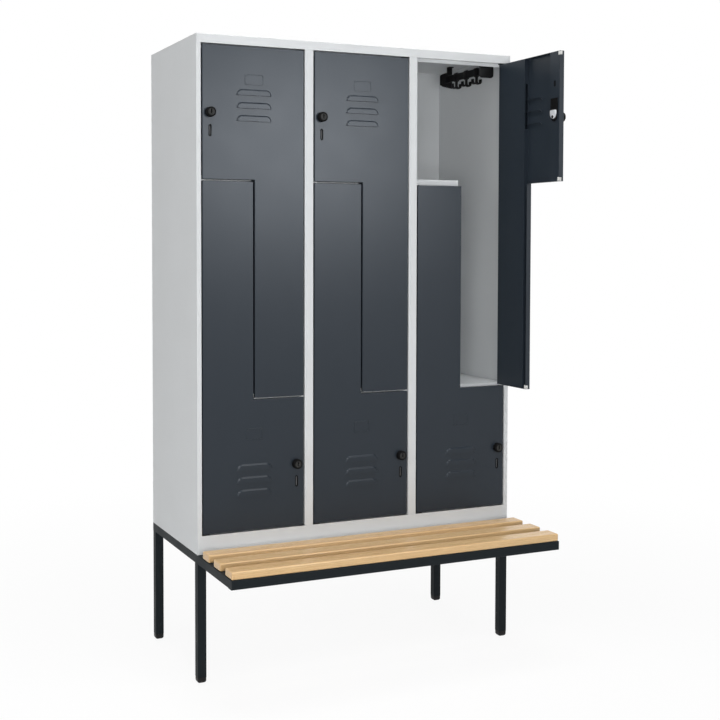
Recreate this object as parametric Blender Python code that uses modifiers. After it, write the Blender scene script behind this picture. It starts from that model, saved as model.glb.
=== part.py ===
"""Steel clothes locker on a bench frame.

Three columns stand side by side. A Z-shaped divider splits each column into an upper and a
lower compartment, and the two Z-shaped doors of a column interlock. The body stands on a
square-tube frame that reaches forward as a bench with three wooden slats.

Lengths are metres, Z is up and the front looks along -Y. Sizes of the body are measured from
the left side (x), the front face (y) and the top of the bench frame (z): the empty body_datum
sits at that corner and carries every piece. The world's origin is on the floor, below the
middle of the box round the whole locker with its one open door.
"""
import math
from dataclasses import dataclass

import bmesh
import bpy
from mathutils import Vector

# Body
COLUMNS = 3
COLUMN_PITCH = 0.400
BODY_DEPTH = 0.500
BODY_HEIGHT = 1.700
BODY_SHEET = 0.001
STILE_WIDTH = 0.0157  # from a column's edge to its door opening
TOP_RAIL_HEIGHT = 0.029
BOTTOM_RAIL_HEIGHT = 0.062
STOP_LIP_WIDTH = 0.011
REAR_FLANGE_WIDTH = 0.012
SEAT_GAP = 0.0003  # between sheets that touch
BEND_RADIUS = 0.001  # of the sheet's middle
BEND_STEPS = 2
RELIEF_WIDTH = 0.018  # cut-out in a rail's return, at the doors' free corners
RELIEF_MARGIN = 0.003

# Bench
BENCH_HEIGHT = 0.427
BENCH_REACH = 0.315
TUBE_SIZE = 0.030
TUBE_WALL = 0.002
SLATS = 3
SLAT_WIDTH = 0.060
SLAT_THICKNESS = 0.025
SLAT_INSET = 0.0015
SLAT_ROUNDING = 0.004
FOOT_HEIGHT = 0.020
FOOT_ROUNDING = 0.009
FOOT_PLUG_LENGTH = 0.020
FOOT_PLUG_CLEARANCE = 0.0003

# Divider between the two compartments of a column
DIVIDER_FOLD = 0.026
DIVIDER_WEB_FLANGE = 0.018
DIVIDER_WALL_FLANGE = 0.012
DIVIDER_WEB_OFFSET = 0.0035  # web's middle to the column's middle
STEP_SHELF_RISE = 0.0165  # step shelf's top above the upper door's wide part
FOOT_SHELF_RISE = 0.0035  # foot shelf's top above the upper door's narrow end

# Doors
DOOR_SHEET = 0.001
DOOR_THICKNESS = 0.0186
DOOR_GAP = 0.004
LEAF_GAP = 0.005  # between a column's two doors
DOOR_WIDE_HEIGHT = 0.4365
DOOR_EDGE_RADIUS = 0.002
HINGE_BOX_WIDTH = 0.159
LOCK_CHANNEL_WIDTH = 0.0523
ACCESS_HEIGHT = 0.159
ACCESS_DEPTH = 0.010
ACCESS_FROM_END = 0.086
UPPER_LOCK_FROM_END = 0.219
LOWER_LOCK_FROM_END = 0.211
UPPER_LOUVRES_FROM_END = 0.1393
LOWER_LOUVRES_FROM_END = 0.2225
OPEN_COLUMN = 2
OPEN_ANGLE = 90

# Hinge pins and their brackets
PIN_RADIUS = 0.003
PIN_CLEARANCE = 0.0004
PIN_INSET = 0.007  # from the door's hinge edge
PIN_ROOT = 0.003
PIN_TIP = 0.004
SWING_CLEARANCE = 0.0004
STOP_CLEARANCE = 0.0006
BRACKET_THICKNESS = 0.002
BRACKET_RADIUS = 0.0075

# Louvres pressed into the door
LOUVRES = 3
LOUVRE_WIDTH = 0.124
LOUVRE_HEIGHT = 0.0198
LOUVRE_PITCH = 0.0424
LOUVRE_DEPTH = 0.0045
LOUVRE_SLOPE = 0.005
LOUVRE_CORNER = 0.0192
LOUVRE_MOUTH = 0.001

# Lock
LOCK_FROM_EDGE = 0.0268
LOCK_BORE_CLEARANCE = 0.0005
COLLAR_RADIUS = 0.0165
COLLAR_HEIGHT = 0.017
COLLAR_CHAMFER = 0.002
BARREL_RADIUS = 0.009
PLUG_RADIUS = 0.006
PLUG_CLEARANCE = 0.0004
DISC_RADIUS = 0.011
DISC_THICKNESS = 0.0014
KEYWAY_WIDTH = 0.0018
KEYWAY_LENGTH = 0.009
KEYWAY_DEPTH = 0.0008
LOCK_BOX_THICKNESS = 0.0035
LOCK_BOX_HEIGHT = 0.050
LOCK_BOX_RISE = 0.013
LOCK_BOX_SPARE = 0.001  # from the lock box to the stop lip
LOCK_NUT_RADIUS = 0.0155
CAM_WIDTH = 0.034
CAM_HEEL = 0.006  # how far the cam reaches past its axis
CAM_CORNER = 0.004
CAM_THICKNESS = 0.002
CAM_CATCH = 0.003  # how far the thrown cam reaches behind the stop lip
CAM_CLEARANCE = 0.001
CAM_NUT_RADIUS = 0.0055
CAM_NUT_HEIGHT = 0.003
SLOT_WIDTH = 0.0085
SLOT_HEIGHT = 0.036
SLOT_DROP = 0.0588
CHANNEL_SLOT_WIDTH = 0.008
CHANNEL_SLOT_HEIGHT = 0.020
CHANNEL_SLOT_RISE = 0.112

# Coat rails and hooks
RAIL_START = 0.045
RAIL_LENGTH = 0.279
RAIL_FROM_HINGE_WALL = 0.072
RAIL_PLATE_WIDTH = 0.060
RAIL_PLATE_HEIGHT = 0.076
RAIL_PLATE_THICKNESS = 0.004
RAIL_PLATE_CORNER = 0.012
RAIL_FOOT_LENGTH = 0.018
RAIL_FOOT_THICKNESS = 0.003
TAIL_WIDTH = 0.0525  # of the rail's rear plate, which hangs from a neck
TAIL_TOP = 0.021
TAIL_BOTTOM = 0.082
TAIL_TIP_TOP = 0.034
TAIL_TIP_BOTTOM = 0.070
TAIL_TAPER = 0.012
NECK_WIDTH = 0.022
BAR_WIDTH = 0.010
BAR_HEIGHT = 0.027
BAR_DROP = 0.0475
BAR_CORNER = 0.004
HOOKS = 3
HOOK_FIRST = 0.112
HOOK_PITCH = 0.070
HOOK_WIDTH = 0.013
HOOK_THICKNESS = 0.003
HOOK_CLEARANCE = 0.001
HOOK_STEM = 0.0178
HOOK_CURL_RADIUS = 0.0082
HOOK_CURL_TURN = 210

# Sizes that follow
BODY_WIDTH = COLUMNS * COLUMN_PITCH
OPENING_BOTTOM = BOTTOM_RAIL_HEIGHT
OPENING_TOP = BODY_HEIGHT - TOP_RAIL_HEIGHT
DOOR_WIDTH = COLUMN_PITCH - 2 * (STILE_WIDTH + DOOR_GAP)
DOOR_NARROW_WIDTH = (DOOR_WIDTH - LEAF_GAP) / 2
DOOR_HEIGHT = OPENING_TOP - OPENING_BOTTOM - 2 * DOOR_GAP - LEAF_GAP - DOOR_WIDE_HEIGHT
UPPER_DOOR_BOTTOM = OPENING_TOP - DOOR_GAP - DOOR_HEIGHT
LOWER_DOOR_BOTTOM = OPENING_BOTTOM + DOOR_GAP
# The door's rounded front edge turns past the stile, and its rear edge past the stop lip.
SWEEP = PIN_INSET + DOOR_GAP - SWING_CLEARANCE - DOOR_EDGE_RADIUS
PIN_DEPTH = DOOR_EDGE_RADIUS + math.sqrt(SWEEP**2 - (PIN_INSET - DOOR_EDGE_RADIUS) ** 2)
REAR_SWEEP = math.hypot(PIN_INSET, DOOR_THICKNESS - PIN_DEPTH)
STOP_SETBACK = PIN_DEPTH + REAR_SWEEP + STOP_CLEARANCE
STOP_BACK = STOP_SETBACK + BODY_SHEET
DIVIDER_FRONT = STOP_BACK + SEAT_GAP
BACK_PANEL_REAR = BODY_DEPTH - BODY_SHEET - SEAT_GAP
INNER_REAR = BACK_PANEL_REAR - BODY_SHEET - SEAT_GAP
FLOOR_TOP = SEAT_GAP + BODY_SHEET
CEILING = BODY_HEIGHT - BODY_SHEET
STEP_SHELF_TOP = OPENING_TOP - DOOR_GAP - DOOR_WIDE_HEIGHT + STEP_SHELF_RISE
FOOT_SHELF_TOP = UPPER_DOOR_BOTTOM + FOOT_SHELF_RISE
UPPER_BRACKET_MIDDLE = UPPER_DOOR_BOTTOM - LEAF_GAP / 2
LOWER_BRACKET_MIDDLE = LOWER_DOOR_BOTTOM + DOOR_HEIGHT + LEAF_GAP / 2
HINGE_OFFSET = STILE_WIDTH + DOOR_GAP + PIN_INSET  # from a column's edge to its pins
DOOR_REACH = DOOR_WIDTH - PIN_INSET - PIN_DEPTH
LOCK_TO_STILE = LOCK_FROM_EDGE + DOOR_GAP
CAM_LENGTH = LOCK_TO_STILE - STOP_LIP_WIDTH + CAM_CATCH
LOCK_BOX_WIDTH = 2 * (LOCK_TO_STILE - STOP_LIP_WIDTH - LOCK_BOX_SPARE)
FRONT_Y = (max(DOOR_REACH, BENCH_REACH) - BODY_DEPTH) / 2
OUTER_PIN_LENGTH = DOOR_GAP + BODY_SHEET + PIN_TIP
INNER_PIN_LENGTH = LEAF_GAP - PIN_CLEARANCE

OVERLAP = 0.0005  # how far joined shapes run into each other
PAST = 0.005  # how far a cutter runs past what it cuts
ROUND_STEPS = 16
PIN_STEPS = 12
HALF_ROUND_STEPS = 6
CORNER_STEPS = 3
BAR_CORNER_STEPS = 2
CURL_STEPS = 8
NUT_SIDES = 6
EDGE_STEPS = 2
FOOT_STEPS = 4
SMOOTH_ANGLE = 35
HOOK_SMOOTH_ANGLE = 50
ON_PLANE = 0.000001  # how close a corner is to a plane that it lies on


@dataclass(frozen=True)
class Door:
    """What sets an upper door apart from a lower one.

    hinge is +1 where the pins are on the right and -1 where they are on the left. The wide
    part is at the pins' top on an upper door and at their bottom on a lower one. Places on
    the wide part are distances from its outer edge.
    """

    name: str
    hinge: int
    bottom: float
    lock_from_end: float
    louvres_from_end: float

    def x(self, from_hinge_edge):
        return self.hinge * (PIN_INSET - from_hinge_edge)

    def z(self, from_narrow_end):
        return from_narrow_end if self.hinge > 0 else DOOR_HEIGHT - from_narrow_end

    def z_wide(self, from_wide_end):
        return self.z(DOOR_HEIGHT - from_wide_end)

    def column_x(self):
        return COLUMN_PITCH - HINGE_OFFSET if self.hinge > 0 else HINGE_OFFSET


UPPER = Door("upper", 1, UPPER_DOOR_BOTTOM, UPPER_LOCK_FROM_END, UPPER_LOUVRES_FROM_END)
LOWER = Door("lower", -1, LOWER_DOOR_BOTTOM, LOWER_LOCK_FROM_END, LOWER_LOUVRES_FROM_END)


def clear_scene():
    for obj in list(bpy.data.objects):
        bpy.data.objects.remove(obj, do_unlink=True)


def new_collection(name):
    collection = bpy.data.collections.new(name)
    bpy.context.scene.collection.children.link(collection)
    return collection


def new_material(name, colour, roughness, metallic=0.0):
    material = bpy.data.materials.new(name)
    material.use_nodes = True
    shader = material.node_tree.nodes["Principled BSDF"]
    shader.inputs["Base Color"].default_value = (*colour, 1.0)
    shader.inputs["Roughness"].default_value = roughness
    shader.inputs["Metallic"].default_value = metallic
    material.diffuse_color = (*colour, 1.0)
    return material


clear_scene()
PARTS = new_collection("locker_with_bench")
CUTTERS = new_collection("cutters")
CUTTERS.hide_render = True
LIGHT_GREY = new_material("light_grey_coating", (0.62, 0.64, 0.64), 0.45)
ANTHRACITE = new_material("anthracite_coating", (0.035, 0.042, 0.052), 0.42)
BLACK_GREY = new_material("black_grey_coating", (0.022, 0.024, 0.026), 0.5)
BLACK_PLASTIC = new_material("black_plastic", (0.012, 0.012, 0.013), 0.45)
ZINC = new_material("zinc_plated_steel", (0.55, 0.56, 0.57), 0.3, 1.0)
BEECH = new_material("lacquered_beech", (0.72, 0.49, 0.26), 0.5)

DATUM = bpy.data.objects.new("body_datum", None)
DATUM.location = (-BODY_WIDTH / 2, FRONT_Y, BENCH_HEIGHT)
PARTS.objects.link(DATUM)


def place(name, mesh, material, parent=DATUM, location=(0, 0, 0), turn_z=0.0):
    """Puts a mesh in the scene as one named piece, carried by its parent."""
    obj = bpy.data.objects.new(name, mesh)
    if not mesh.materials:
        mesh.materials.append(material)
    obj.parent = parent
    obj.location = location
    obj.rotation_euler.z = turn_z
    PARTS.objects.link(obj)
    return obj


def helper(mesh):
    """An object that is only cut from, cut with or joined, and never rendered by itself."""
    obj = bpy.data.objects.new(mesh.name, mesh)
    obj.hide_render = True
    obj.display_type = "WIRE"
    CUTTERS.objects.link(obj)
    return obj


def mesh_of(bm, name):
    bmesh.ops.recalc_face_normals(bm, faces=bm.faces)
    mesh = bpy.data.meshes.new(name)
    bm.to_mesh(mesh)
    bm.free()
    return mesh


def in_space(axis, along, a, b):
    """A point of an outline in the plane square to the axis, at a place along that axis."""
    return {"X": (along, a, b), "Y": (a, along, b), "Z": (a, b, along)}[axis]


def add_prism(bm, outline, axis, start, end, end_outline=None):
    """Extrudes a closed outline along an axis, to a like outline where one is given."""
    first = [bm.verts.new(in_space(axis, start, *point)) for point in outline]
    base = bm.faces.new(first)
    grown = bmesh.ops.extrude_face_region(bm, geom=[base])["geom"]
    last = [item for item in grown if isinstance(item, bmesh.types.BMVert)]
    places = dict(zip([tuple(round(c, 7) for c in v.co) for v in first], end_outline or outline))
    for vert in last:
        vert.co = in_space(axis, end, *places[tuple(round(c, 7) for c in vert.co)])


def prism(name, outline, axis, start, end, end_outline=None):
    bm = bmesh.new()
    add_prism(bm, outline, axis, start, end, end_outline)
    return mesh_of(bm, name)


def add_box(bm, x, y, z):
    """A box between two values on each axis."""
    corners = [(x[0], y[0]), (x[1], y[0]), (x[1], y[1]), (x[0], y[1])]
    add_prism(bm, corners, "Z", z[0], z[1])


def box(name, x, y, z):
    bm = bmesh.new()
    add_box(bm, x, y, z)
    return mesh_of(bm, name)


def boxes(name, spans):
    bm = bmesh.new()
    for x, y, z in spans:
        add_box(bm, x, y, z)
    return mesh_of(bm, name)


def arc(centre, radius, start, end, steps=CORNER_STEPS):
    """Points round a centre, from one angle to another in degrees."""
    angles = [math.radians(start + (end - start) * i / steps) for i in range(steps + 1)]
    return [(centre[0] + radius * math.cos(t), centre[1] + radius * math.sin(t)) for t in angles]


def circle(centre, radius, steps=ROUND_STEPS):
    return arc(centre, radius, 0, 360, steps)[:-1]


def rounded(width, height, radius, centre=(0, 0), steps=CORNER_STEPS):
    """A rectangle's outline with round corners."""
    a, b = width / 2 - radius, height / 2 - radius
    corners = ((a, b, 0), (-a, b, 90), (-a, -b, 180), (a, -b, 270))
    points = []
    for x, y, turn in corners:
        points += arc((centre[0] + x, centre[1] + y), radius, turn, turn + 90, steps)
    return points


def slot(width, height, centre):
    """An upright slot's outline with half-round ends."""
    reach = (height - width) / 2
    top = arc((centre[0], centre[1] + reach), width / 2, 0, 180, HALF_ROUND_STEPS)
    return top + arc((centre[0], centre[1] - reach), width / 2, 180, 360, HALF_ROUND_STEPS)


def bent(path, radius=BEND_RADIUS):
    """A path whose square corners are rounded as a folded sheet's are."""
    points = [path[0]]
    for before, corner, after in zip(path, path[1:], path[2:]):
        middle = Vector(corner)
        back = (Vector(before) - middle).normalized() * radius
        on = (Vector(after) - middle).normalized() * radius
        for step in range(BEND_STEPS + 1):
            turn = math.pi / 2 * step / BEND_STEPS
            points.append(tuple(middle + back * (1 - math.sin(turn)) + on * (1 - math.cos(turn))))
    return points + [path[-1]]


def folded_sheet(name, path, axis, start, end):
    """Sheet along a path, extruded along an axis and still without thickness."""
    bm = bmesh.new()
    near = [bm.verts.new(in_space(axis, start, *point)) for point in path]
    far = [bm.verts.new(in_space(axis, end, *point)) for point in path]
    for i in range(len(path) - 1):
        bm.faces.new((near[i], near[i + 1], far[i + 1], far[i]))
    mesh = bpy.data.meshes.new(name)
    bm.to_mesh(mesh)
    bm.free()
    return mesh


def solidified(obj, thickness=BODY_SHEET):
    """The piece with its sheet made solid, evenly on both sides of its middle."""
    thicken = obj.modifiers.new("sheet", "SOLIDIFY")
    thicken.thickness = thickness
    thicken.offset = 0.0
    thicken.use_even_offset = True
    return obj


def combine(obj, mesh, operation):
    """Joins a mesh to a piece or cuts it out, with the mesh carried like the piece."""
    tool = helper(mesh)
    tool.parent = obj.parent
    modifier = obj.modifiers.new(mesh.name, "BOOLEAN")
    modifier.operation = operation
    modifier.object = tool
    return obj


def baked(obj, name):
    """The mesh that a helper's modifiers leave, for pieces that share it."""
    bpy.context.view_layer.update()
    graph = bpy.context.evaluated_depsgraph_get()
    mesh = bpy.data.meshes.new_from_object(obj.evaluated_get(graph))
    mesh.name = name
    tools = [modifier.object for modifier in obj.modifiers if modifier.type == "BOOLEAN"]
    for used in [obj, *tools]:
        bpy.data.objects.remove(used, do_unlink=True)
    return mesh


def smooth(mesh, angle=SMOOTH_ANGLE):
    mesh.shade_smooth()
    mesh.set_sharp_from_angle(angle=math.radians(angle))
    return mesh


def turned(name, profile):
    """A closed profile of (radius, forward) points turned about Y, forward being -Y."""
    mesh = bpy.data.meshes.new(name + "_profile")
    count = len(profile)
    edges = [(i, (i + 1) % count) for i in range(count)]
    mesh.from_pydata([(radius, 0.0, forward) for radius, forward in profile], edges, [])
    obj = helper(mesh)
    screw = obj.modifiers.new("turn", "SCREW")
    screw.axis = "Z"
    screw.steps = ROUND_STEPS
    screw.render_steps = ROUND_STEPS
    screw.use_merge_vertices = True
    screw.merge_threshold = 0.00001
    bm = bmesh.new()
    bm.from_mesh(baked(obj, name + "_turned"))
    bmesh.ops.remove_doubles(bm, verts=bm.verts, dist=ON_PLANE)
    for vert in bm.verts:
        vert.co = (vert.co.x, -vert.co.z, vert.co.y)
    return mesh_of(bm, name)


def column_left(column):
    return column * COLUMN_PITCH


def rail_notches(x):
    """What a stile loses at its ends, to clear the rails with their returns and stop lips."""
    bm = bmesh.new()
    front = -PAST
    slit = STOP_SETBACK - SEAT_GAP
    ends = ((-PAST, OPENING_BOTTOM, 1), (BODY_HEIGHT + PAST, OPENING_TOP, -1))
    for outside, edge, inward in ends:
        rail = edge + inward * SEAT_GAP
        lip = rail + inward * STOP_LIP_WIDTH
        outline = [(front, outside), (DIVIDER_FRONT, outside), (DIVIDER_FRONT, lip)]
        outline += [(slit, lip), (slit, rail), (front, rail)]
        add_prism(bm, outline, "X", *x)
    return mesh_of(bm, "rail_notches")


def hinge_bracket(pin_x, stile_x, middle):
    """A tab on the stile's return, between two doors, that holds a hinge pin."""
    side = 1 if stile_x > pin_x else -1
    outline = arc((pin_x, PIN_DEPTH), BRACKET_RADIUS, 90, 90 + side * 180, HALF_ROUND_STEPS)
    root = stile_x + side * OVERLAP
    outline += [(root, PIN_DEPTH - BRACKET_RADIUS), (root, PIN_DEPTH + BRACKET_RADIUS)]
    half = BRACKET_THICKNESS / 2
    return prism("hinge_bracket", outline, "Z", middle - half, middle + half)


def pin_hole(pin_x, bottom, top):
    outline = circle((pin_x, PIN_DEPTH), PIN_RADIUS + PIN_CLEARANCE, PIN_STEPS)
    return prism("pin_hole", outline, "Z", bottom, top)


def add_bracket(obj, pin_x, stile_x, middle):
    combine(obj, hinge_bracket(pin_x, stile_x, middle), "UNION")
    combine(obj, pin_hole(pin_x, middle - LEAF_GAP, middle + LEAF_GAP), "DIFFERENCE")


def side_panels():
    half = BODY_SHEET / 2
    path = [(REAR_FLANGE_WIDTH, BODY_DEPTH - half), (half, BODY_DEPTH - half), (half, half)]
    path += [(STILE_WIDTH - half, half), (STILE_WIDTH - half, STOP_SETBACK + half)]
    path += [(STILE_WIDTH + STOP_LIP_WIDTH, STOP_SETBACK + half)]
    inner = (BODY_SHEET, STILE_WIDTH + STOP_LIP_WIDTH + PAST)
    sides = (
        ("side_panel_left", lambda x: x, LOWER, LOWER_BRACKET_MIDDLE),
        ("side_panel_right", lambda x: BODY_WIDTH - x, UPPER, UPPER_BRACKET_MIDDLE),
    )
    for name, from_left, door, middle in sides:
        bends = bent([(from_left(x), y) for x, y in path])
        mesh = folded_sheet(name, bends, "Z", SEAT_GAP, BODY_HEIGHT)
        panel = solidified(place(name, mesh, LIGHT_GREY))
        combine(panel, rail_notches(sorted(from_left(x) for x in inner)), "DIFFERENCE")
        add_bracket(panel, from_left(HINGE_OFFSET), from_left(STILE_WIDTH - half), middle)


def partitions():
    half = BODY_SHEET / 2
    for number in range(1, COLUMNS):
        middle = column_left(number)
        edge = STILE_WIDTH - half
        lip = STILE_WIDTH + STOP_LIP_WIDTH
        stop = STOP_SETBACK + half
        right = [(edge, half), (edge, stop), (lip, stop)]
        left = [(-x, y) for x, y in reversed(right)]
        bends = bent([(middle + x, y) for x, y in left + right])
        name = f"partition_{number}"
        mesh = folded_sheet(name, bends, "Z", SEAT_GAP, BODY_HEIGHT)
        panel = solidified(place(name, mesh, LIGHT_GREY))
        heights = (FLOOR_TOP + SEAT_GAP, CEILING - SEAT_GAP)
        web = box("web", (middle - half, middle + half), (half, INNER_REAR), heights)
        combine(panel, web, "UNION")
        reach = lip + PAST
        combine(panel, rail_notches((middle - reach, middle + reach)), "DIFFERENCE")
        add_bracket(panel, middle - HINGE_OFFSET, middle - edge, UPPER_BRACKET_MIDDLE)
        add_bracket(panel, middle + HINGE_OFFSET, middle + edge, LOWER_BRACKET_MIDDLE)


def floor_and_roof():
    """Sheets folded to a rail, a return with pin holes and corner cut-outs, and a stop lip."""
    half = BODY_SHEET / 2
    span = (BODY_SHEET + SEAT_GAP, BODY_WIDTH - BODY_SHEET - SEAT_GAP)
    sheets = (
        ("floor_panel", SEAT_GAP + half, OPENING_BOTTOM, -1, LOWER),
        ("roof_panel", BODY_HEIGHT - half, OPENING_TOP, 1, UPPER),
    )
    for name, sheet, edge, outward, door in sheets:
        fold = edge + outward * half
        bends = [(STOP_SETBACK + half, edge - outward * STOP_LIP_WIDTH), (STOP_SETBACK + half, fold)]
        bends += bent([(half, fold), (half, sheet), (BACK_PANEL_REAR, sheet)])
        mesh = folded_sheet(name, bends, "X", *span)
        panel = solidified(place(name, mesh, LIGHT_GREY))
        through = (fold - 2 * BODY_SHEET, fold + 2 * BODY_SHEET)
        bm = bmesh.new()
        for column in range(COLUMNS):
            centre = (column_left(column) + door.column_x(), PIN_DEPTH)
            hole = circle(centre, PIN_RADIUS + PIN_CLEARANCE, PIN_STEPS)
            add_prism(bm, hole, "Z", *through)
            middle = column_left(column) + COLUMN_PITCH / 2
            corner = middle - door.hinge * (COLUMN_PITCH / 2 - STILE_WIDTH)
            relief = sorted((corner, corner + door.hinge * RELIEF_WIDTH))
            add_box(bm, relief, (RELIEF_MARGIN, STOP_SETBACK - SEAT_GAP), through)
        combine(panel, mesh_of(bm, "holes_and_cut_outs"), "DIFFERENCE")


def back_panel():
    margin = BODY_SHEET + SEAT_GAP
    x = (margin, BODY_WIDTH - margin)
    y = (BACK_PANEL_REAR - BODY_SHEET, BACK_PANEL_REAR)
    z = (FLOOR_TOP + SEAT_GAP, CEILING - SEAT_GAP)
    place("back_panel", box("back_panel", x, y, z), LIGHT_GREY)


def column_walls(column):
    """Faces of the walls on both sides of a column, with the seat gap taken off."""
    at_left = BODY_SHEET if column == 0 else BODY_SHEET / 2
    at_right = BODY_SHEET if column == COLUMNS - 1 else BODY_SHEET / 2
    left = column_left(column) + at_left + SEAT_GAP
    right = column_left(column + 1) - at_right - SEAT_GAP
    return left, right


def dividers():
    """Step shelf on the left, web down the middle and foot shelf on the right, in one sheet."""
    half = BODY_SHEET / 2
    for column in range(COLUMNS):
        left, right = column_walls(column)
        web = column_left(column) + COLUMN_PITCH / 2 - DIVIDER_WEB_OFFSET
        step = STEP_SHELF_TOP - half
        foot = FOOT_SHELF_TOP - half
        bends = [(left + half, step - DIVIDER_WALL_FLANGE), (left + half, step), (web, step)]
        bends += [(web, foot), (right - half, foot), (right - half, foot - DIVIDER_WALL_FLANGE)]
        name = f"z_divider_{column + 1}"
        mesh = folded_sheet(name, bends, "Y", DIVIDER_FRONT, INNER_REAR)
        divider = solidified(place(name, mesh, LIGHT_GREY))
        edge = web + half
        flange = edge - DIVIDER_WEB_FLANGE
        face = [(left, STEP_SHELF_TOP), (edge, STEP_SHELF_TOP), (edge, FOOT_SHELF_TOP)]
        face += [(right, FOOT_SHELF_TOP), (right, FOOT_SHELF_TOP - DIVIDER_FOLD)]
        face += [(flange, FOOT_SHELF_TOP - DIVIDER_FOLD), (flange, STEP_SHELF_TOP - DIVIDER_FOLD)]
        face += [(left, STEP_SHELF_TOP - DIVIDER_FOLD)]
        front = (DIVIDER_FRONT, DIVIDER_FRONT + BODY_SHEET)
        combine(divider, prism("front_fold", face, "Y", *front), "UNION")


def door_outline(door):
    """The Z door's outline, whose narrow leg runs along the hinge."""
    step = DOOR_HEIGHT - DOOR_WIDE_HEIGHT
    corners = [(0, 0), (DOOR_NARROW_WIDTH, 0), (DOOR_NARROW_WIDTH, step)]
    corners += [(DOOR_WIDTH, step), (DOOR_WIDTH, DOOR_HEIGHT), (0, DOOR_HEIGHT)]
    return [(door.x(u), door.z(w)) for u, w in corners]


def door_tray(door):
    """The door's outer body, with its front edges rounded."""
    bm = bmesh.new()
    add_prism(bm, door_outline(door), "Y", -PIN_DEPTH, DOOR_THICKNESS - PIN_DEPTH)
    bmesh.ops.recalc_face_normals(bm, faces=bm.faces)
    front = [
        edge for edge in bm.edges
        if all(abs(vert.co.y + PIN_DEPTH) < ON_PLANE for vert in edge.verts)
    ]
    size = {"offset": DOOR_EDGE_RADIUS, "segments": EDGE_STEPS, "profile": 0.5}
    bmesh.ops.bevel(bm, geom=front, affect="EDGES", **size)
    return mesh_of(bm, "door_tray")


def door_spans(door, u, w):
    """x and z spans of a rectangle given from the hinge edge and the narrow end."""
    return sorted(door.x(a) for a in u), sorted(door.z(a) for a in w)


def door_hollows(door):
    """The open pocket, the hollow hinge box and the hollow lock channel."""
    t = DOOR_SHEET
    step = DOOR_HEIGHT - DOOR_WIDE_HEIGHT
    back = DOOR_THICKNESS - PIN_DEPTH
    skin = t - PIN_DEPTH
    channel = DOOR_WIDTH - LOCK_CHANNEL_WIDTH
    top = DOOR_HEIGHT - t
    bm = bmesh.new()
    pocket = [(HINGE_BOX_WIDTH, t), (DOOR_NARROW_WIDTH - t, t), (DOOR_NARROW_WIDTH - t, step + t)]
    pocket += [(channel, step + t), (channel, top), (HINGE_BOX_WIDTH, top)]
    add_prism(bm, [(door.x(u), door.z(w)) for u, w in pocket], "Y", skin, back + PAST)
    x, z = door_spans(door, (t, HINGE_BOX_WIDTH - t), (t, top))
    add_box(bm, x, (skin, back - t), z)
    x, z = door_spans(door, (channel + t, DOOR_WIDTH - t), (step + t, top))
    add_box(bm, x, (skin, back - t), z)
    return mesh_of(bm, "door_hollows")


def louvre_outline(door, index, inset, drop=0.0):
    """A louvre's outline: flat below, with its upper corners rounded."""
    top = door.z_wide(door.louvres_from_end) - index * LOUVRE_PITCH - inset
    bottom = door.z_wide(door.louvres_from_end) - index * LOUVRE_PITCH - LOUVRE_HEIGHT - drop
    middle = door.x(DOOR_WIDTH / 2)
    half = LOUVRE_WIDTH / 2 - inset
    corner = LOUVRE_CORNER - inset
    points = [(middle - half, bottom), (middle + half, bottom)]
    points += arc((middle + half - corner, top - corner), corner, 0, 90)
    return points + arc((middle - half + corner, top - corner), corner, 90, 180)


def louvre_hoods(door):
    bm = bmesh.new()
    for index in range(LOUVRES):
        foot = louvre_outline(door, index, 0.0)
        crest = louvre_outline(door, index, LOUVRE_SLOPE)
        add_prism(bm, foot, "Y", DOOR_SHEET / 2 - PIN_DEPTH, -LOUVRE_DEPTH - PIN_DEPTH, crest)
    return mesh_of(bm, "louvre_hoods")


def door_cuts(door):
    """Louvre mouths, lock hole, slots and the access cut-out in the hinge box."""
    t = DOOR_SHEET
    bm = bmesh.new()
    skin_back = 2 * t - PIN_DEPTH
    for index in range(LOUVRES):
        foot = louvre_outline(door, index, t, LOUVRE_MOUTH)
        crest = louvre_outline(door, index, LOUVRE_SLOPE + t, LOUVRE_MOUTH)
        add_prism(bm, foot, "Y", skin_back, t - LOUVRE_DEPTH - PIN_DEPTH, crest)
    axis = lock_centre(door)
    through = (-PIN_DEPTH - PAST, DOOR_THICKNESS - PIN_DEPTH + PAST)
    add_prism(bm, circle(axis, BARREL_RADIUS + LOCK_BORE_CLEARANCE), "Y", *through)
    view = slot(SLOT_WIDTH, SLOT_HEIGHT, (axis[0], axis[1] - SLOT_DROP))
    add_prism(bm, view, "Y", through[0], skin_back)
    channel_slot = slot(CHANNEL_SLOT_WIDTH, CHANNEL_SLOT_HEIGHT, (axis[0], axis[1] + CHANNEL_SLOT_RISE))
    inner = DOOR_THICKNESS - PIN_DEPTH - 2 * t
    add_prism(bm, channel_slot, "Y", inner, through[1])
    wall = (HINGE_BOX_WIDTH - 2 * t, HINGE_BOX_WIDTH + t)
    from_end = DOOR_HEIGHT - ACCESS_FROM_END
    x, z = door_spans(door, wall, (from_end - ACCESS_HEIGHT, from_end))
    middle = (DOOR_THICKNESS + t) / 2 - PIN_DEPTH
    add_box(bm, x, (middle - ACCESS_DEPTH / 2, middle + ACCESS_DEPTH / 2), z)
    return mesh_of(bm, "door_cuts")


def hinge_pins(door):
    """Pins at both ends of the door, on its origin's axis."""
    narrow, wide = sorted((door.z(0.0), door.z(DOOR_HEIGHT)), reverse=door.hinge < 0)
    outward = door.hinge
    bm = bmesh.new()
    ends = ((narrow, -outward, INNER_PIN_LENGTH), (wide, outward, OUTER_PIN_LENGTH))
    for edge, way, length in ends:
        span = sorted((edge - way * PIN_ROOT, edge + way * length))
        add_prism(bm, circle((0, 0), PIN_RADIUS, PIN_STEPS), "Z", *span)
    return mesh_of(bm, "hinge_pins")


def lock_centre(door):
    return door.x(DOOR_WIDTH - LOCK_FROM_EDGE), door.z_wide(door.lock_from_end)


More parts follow.
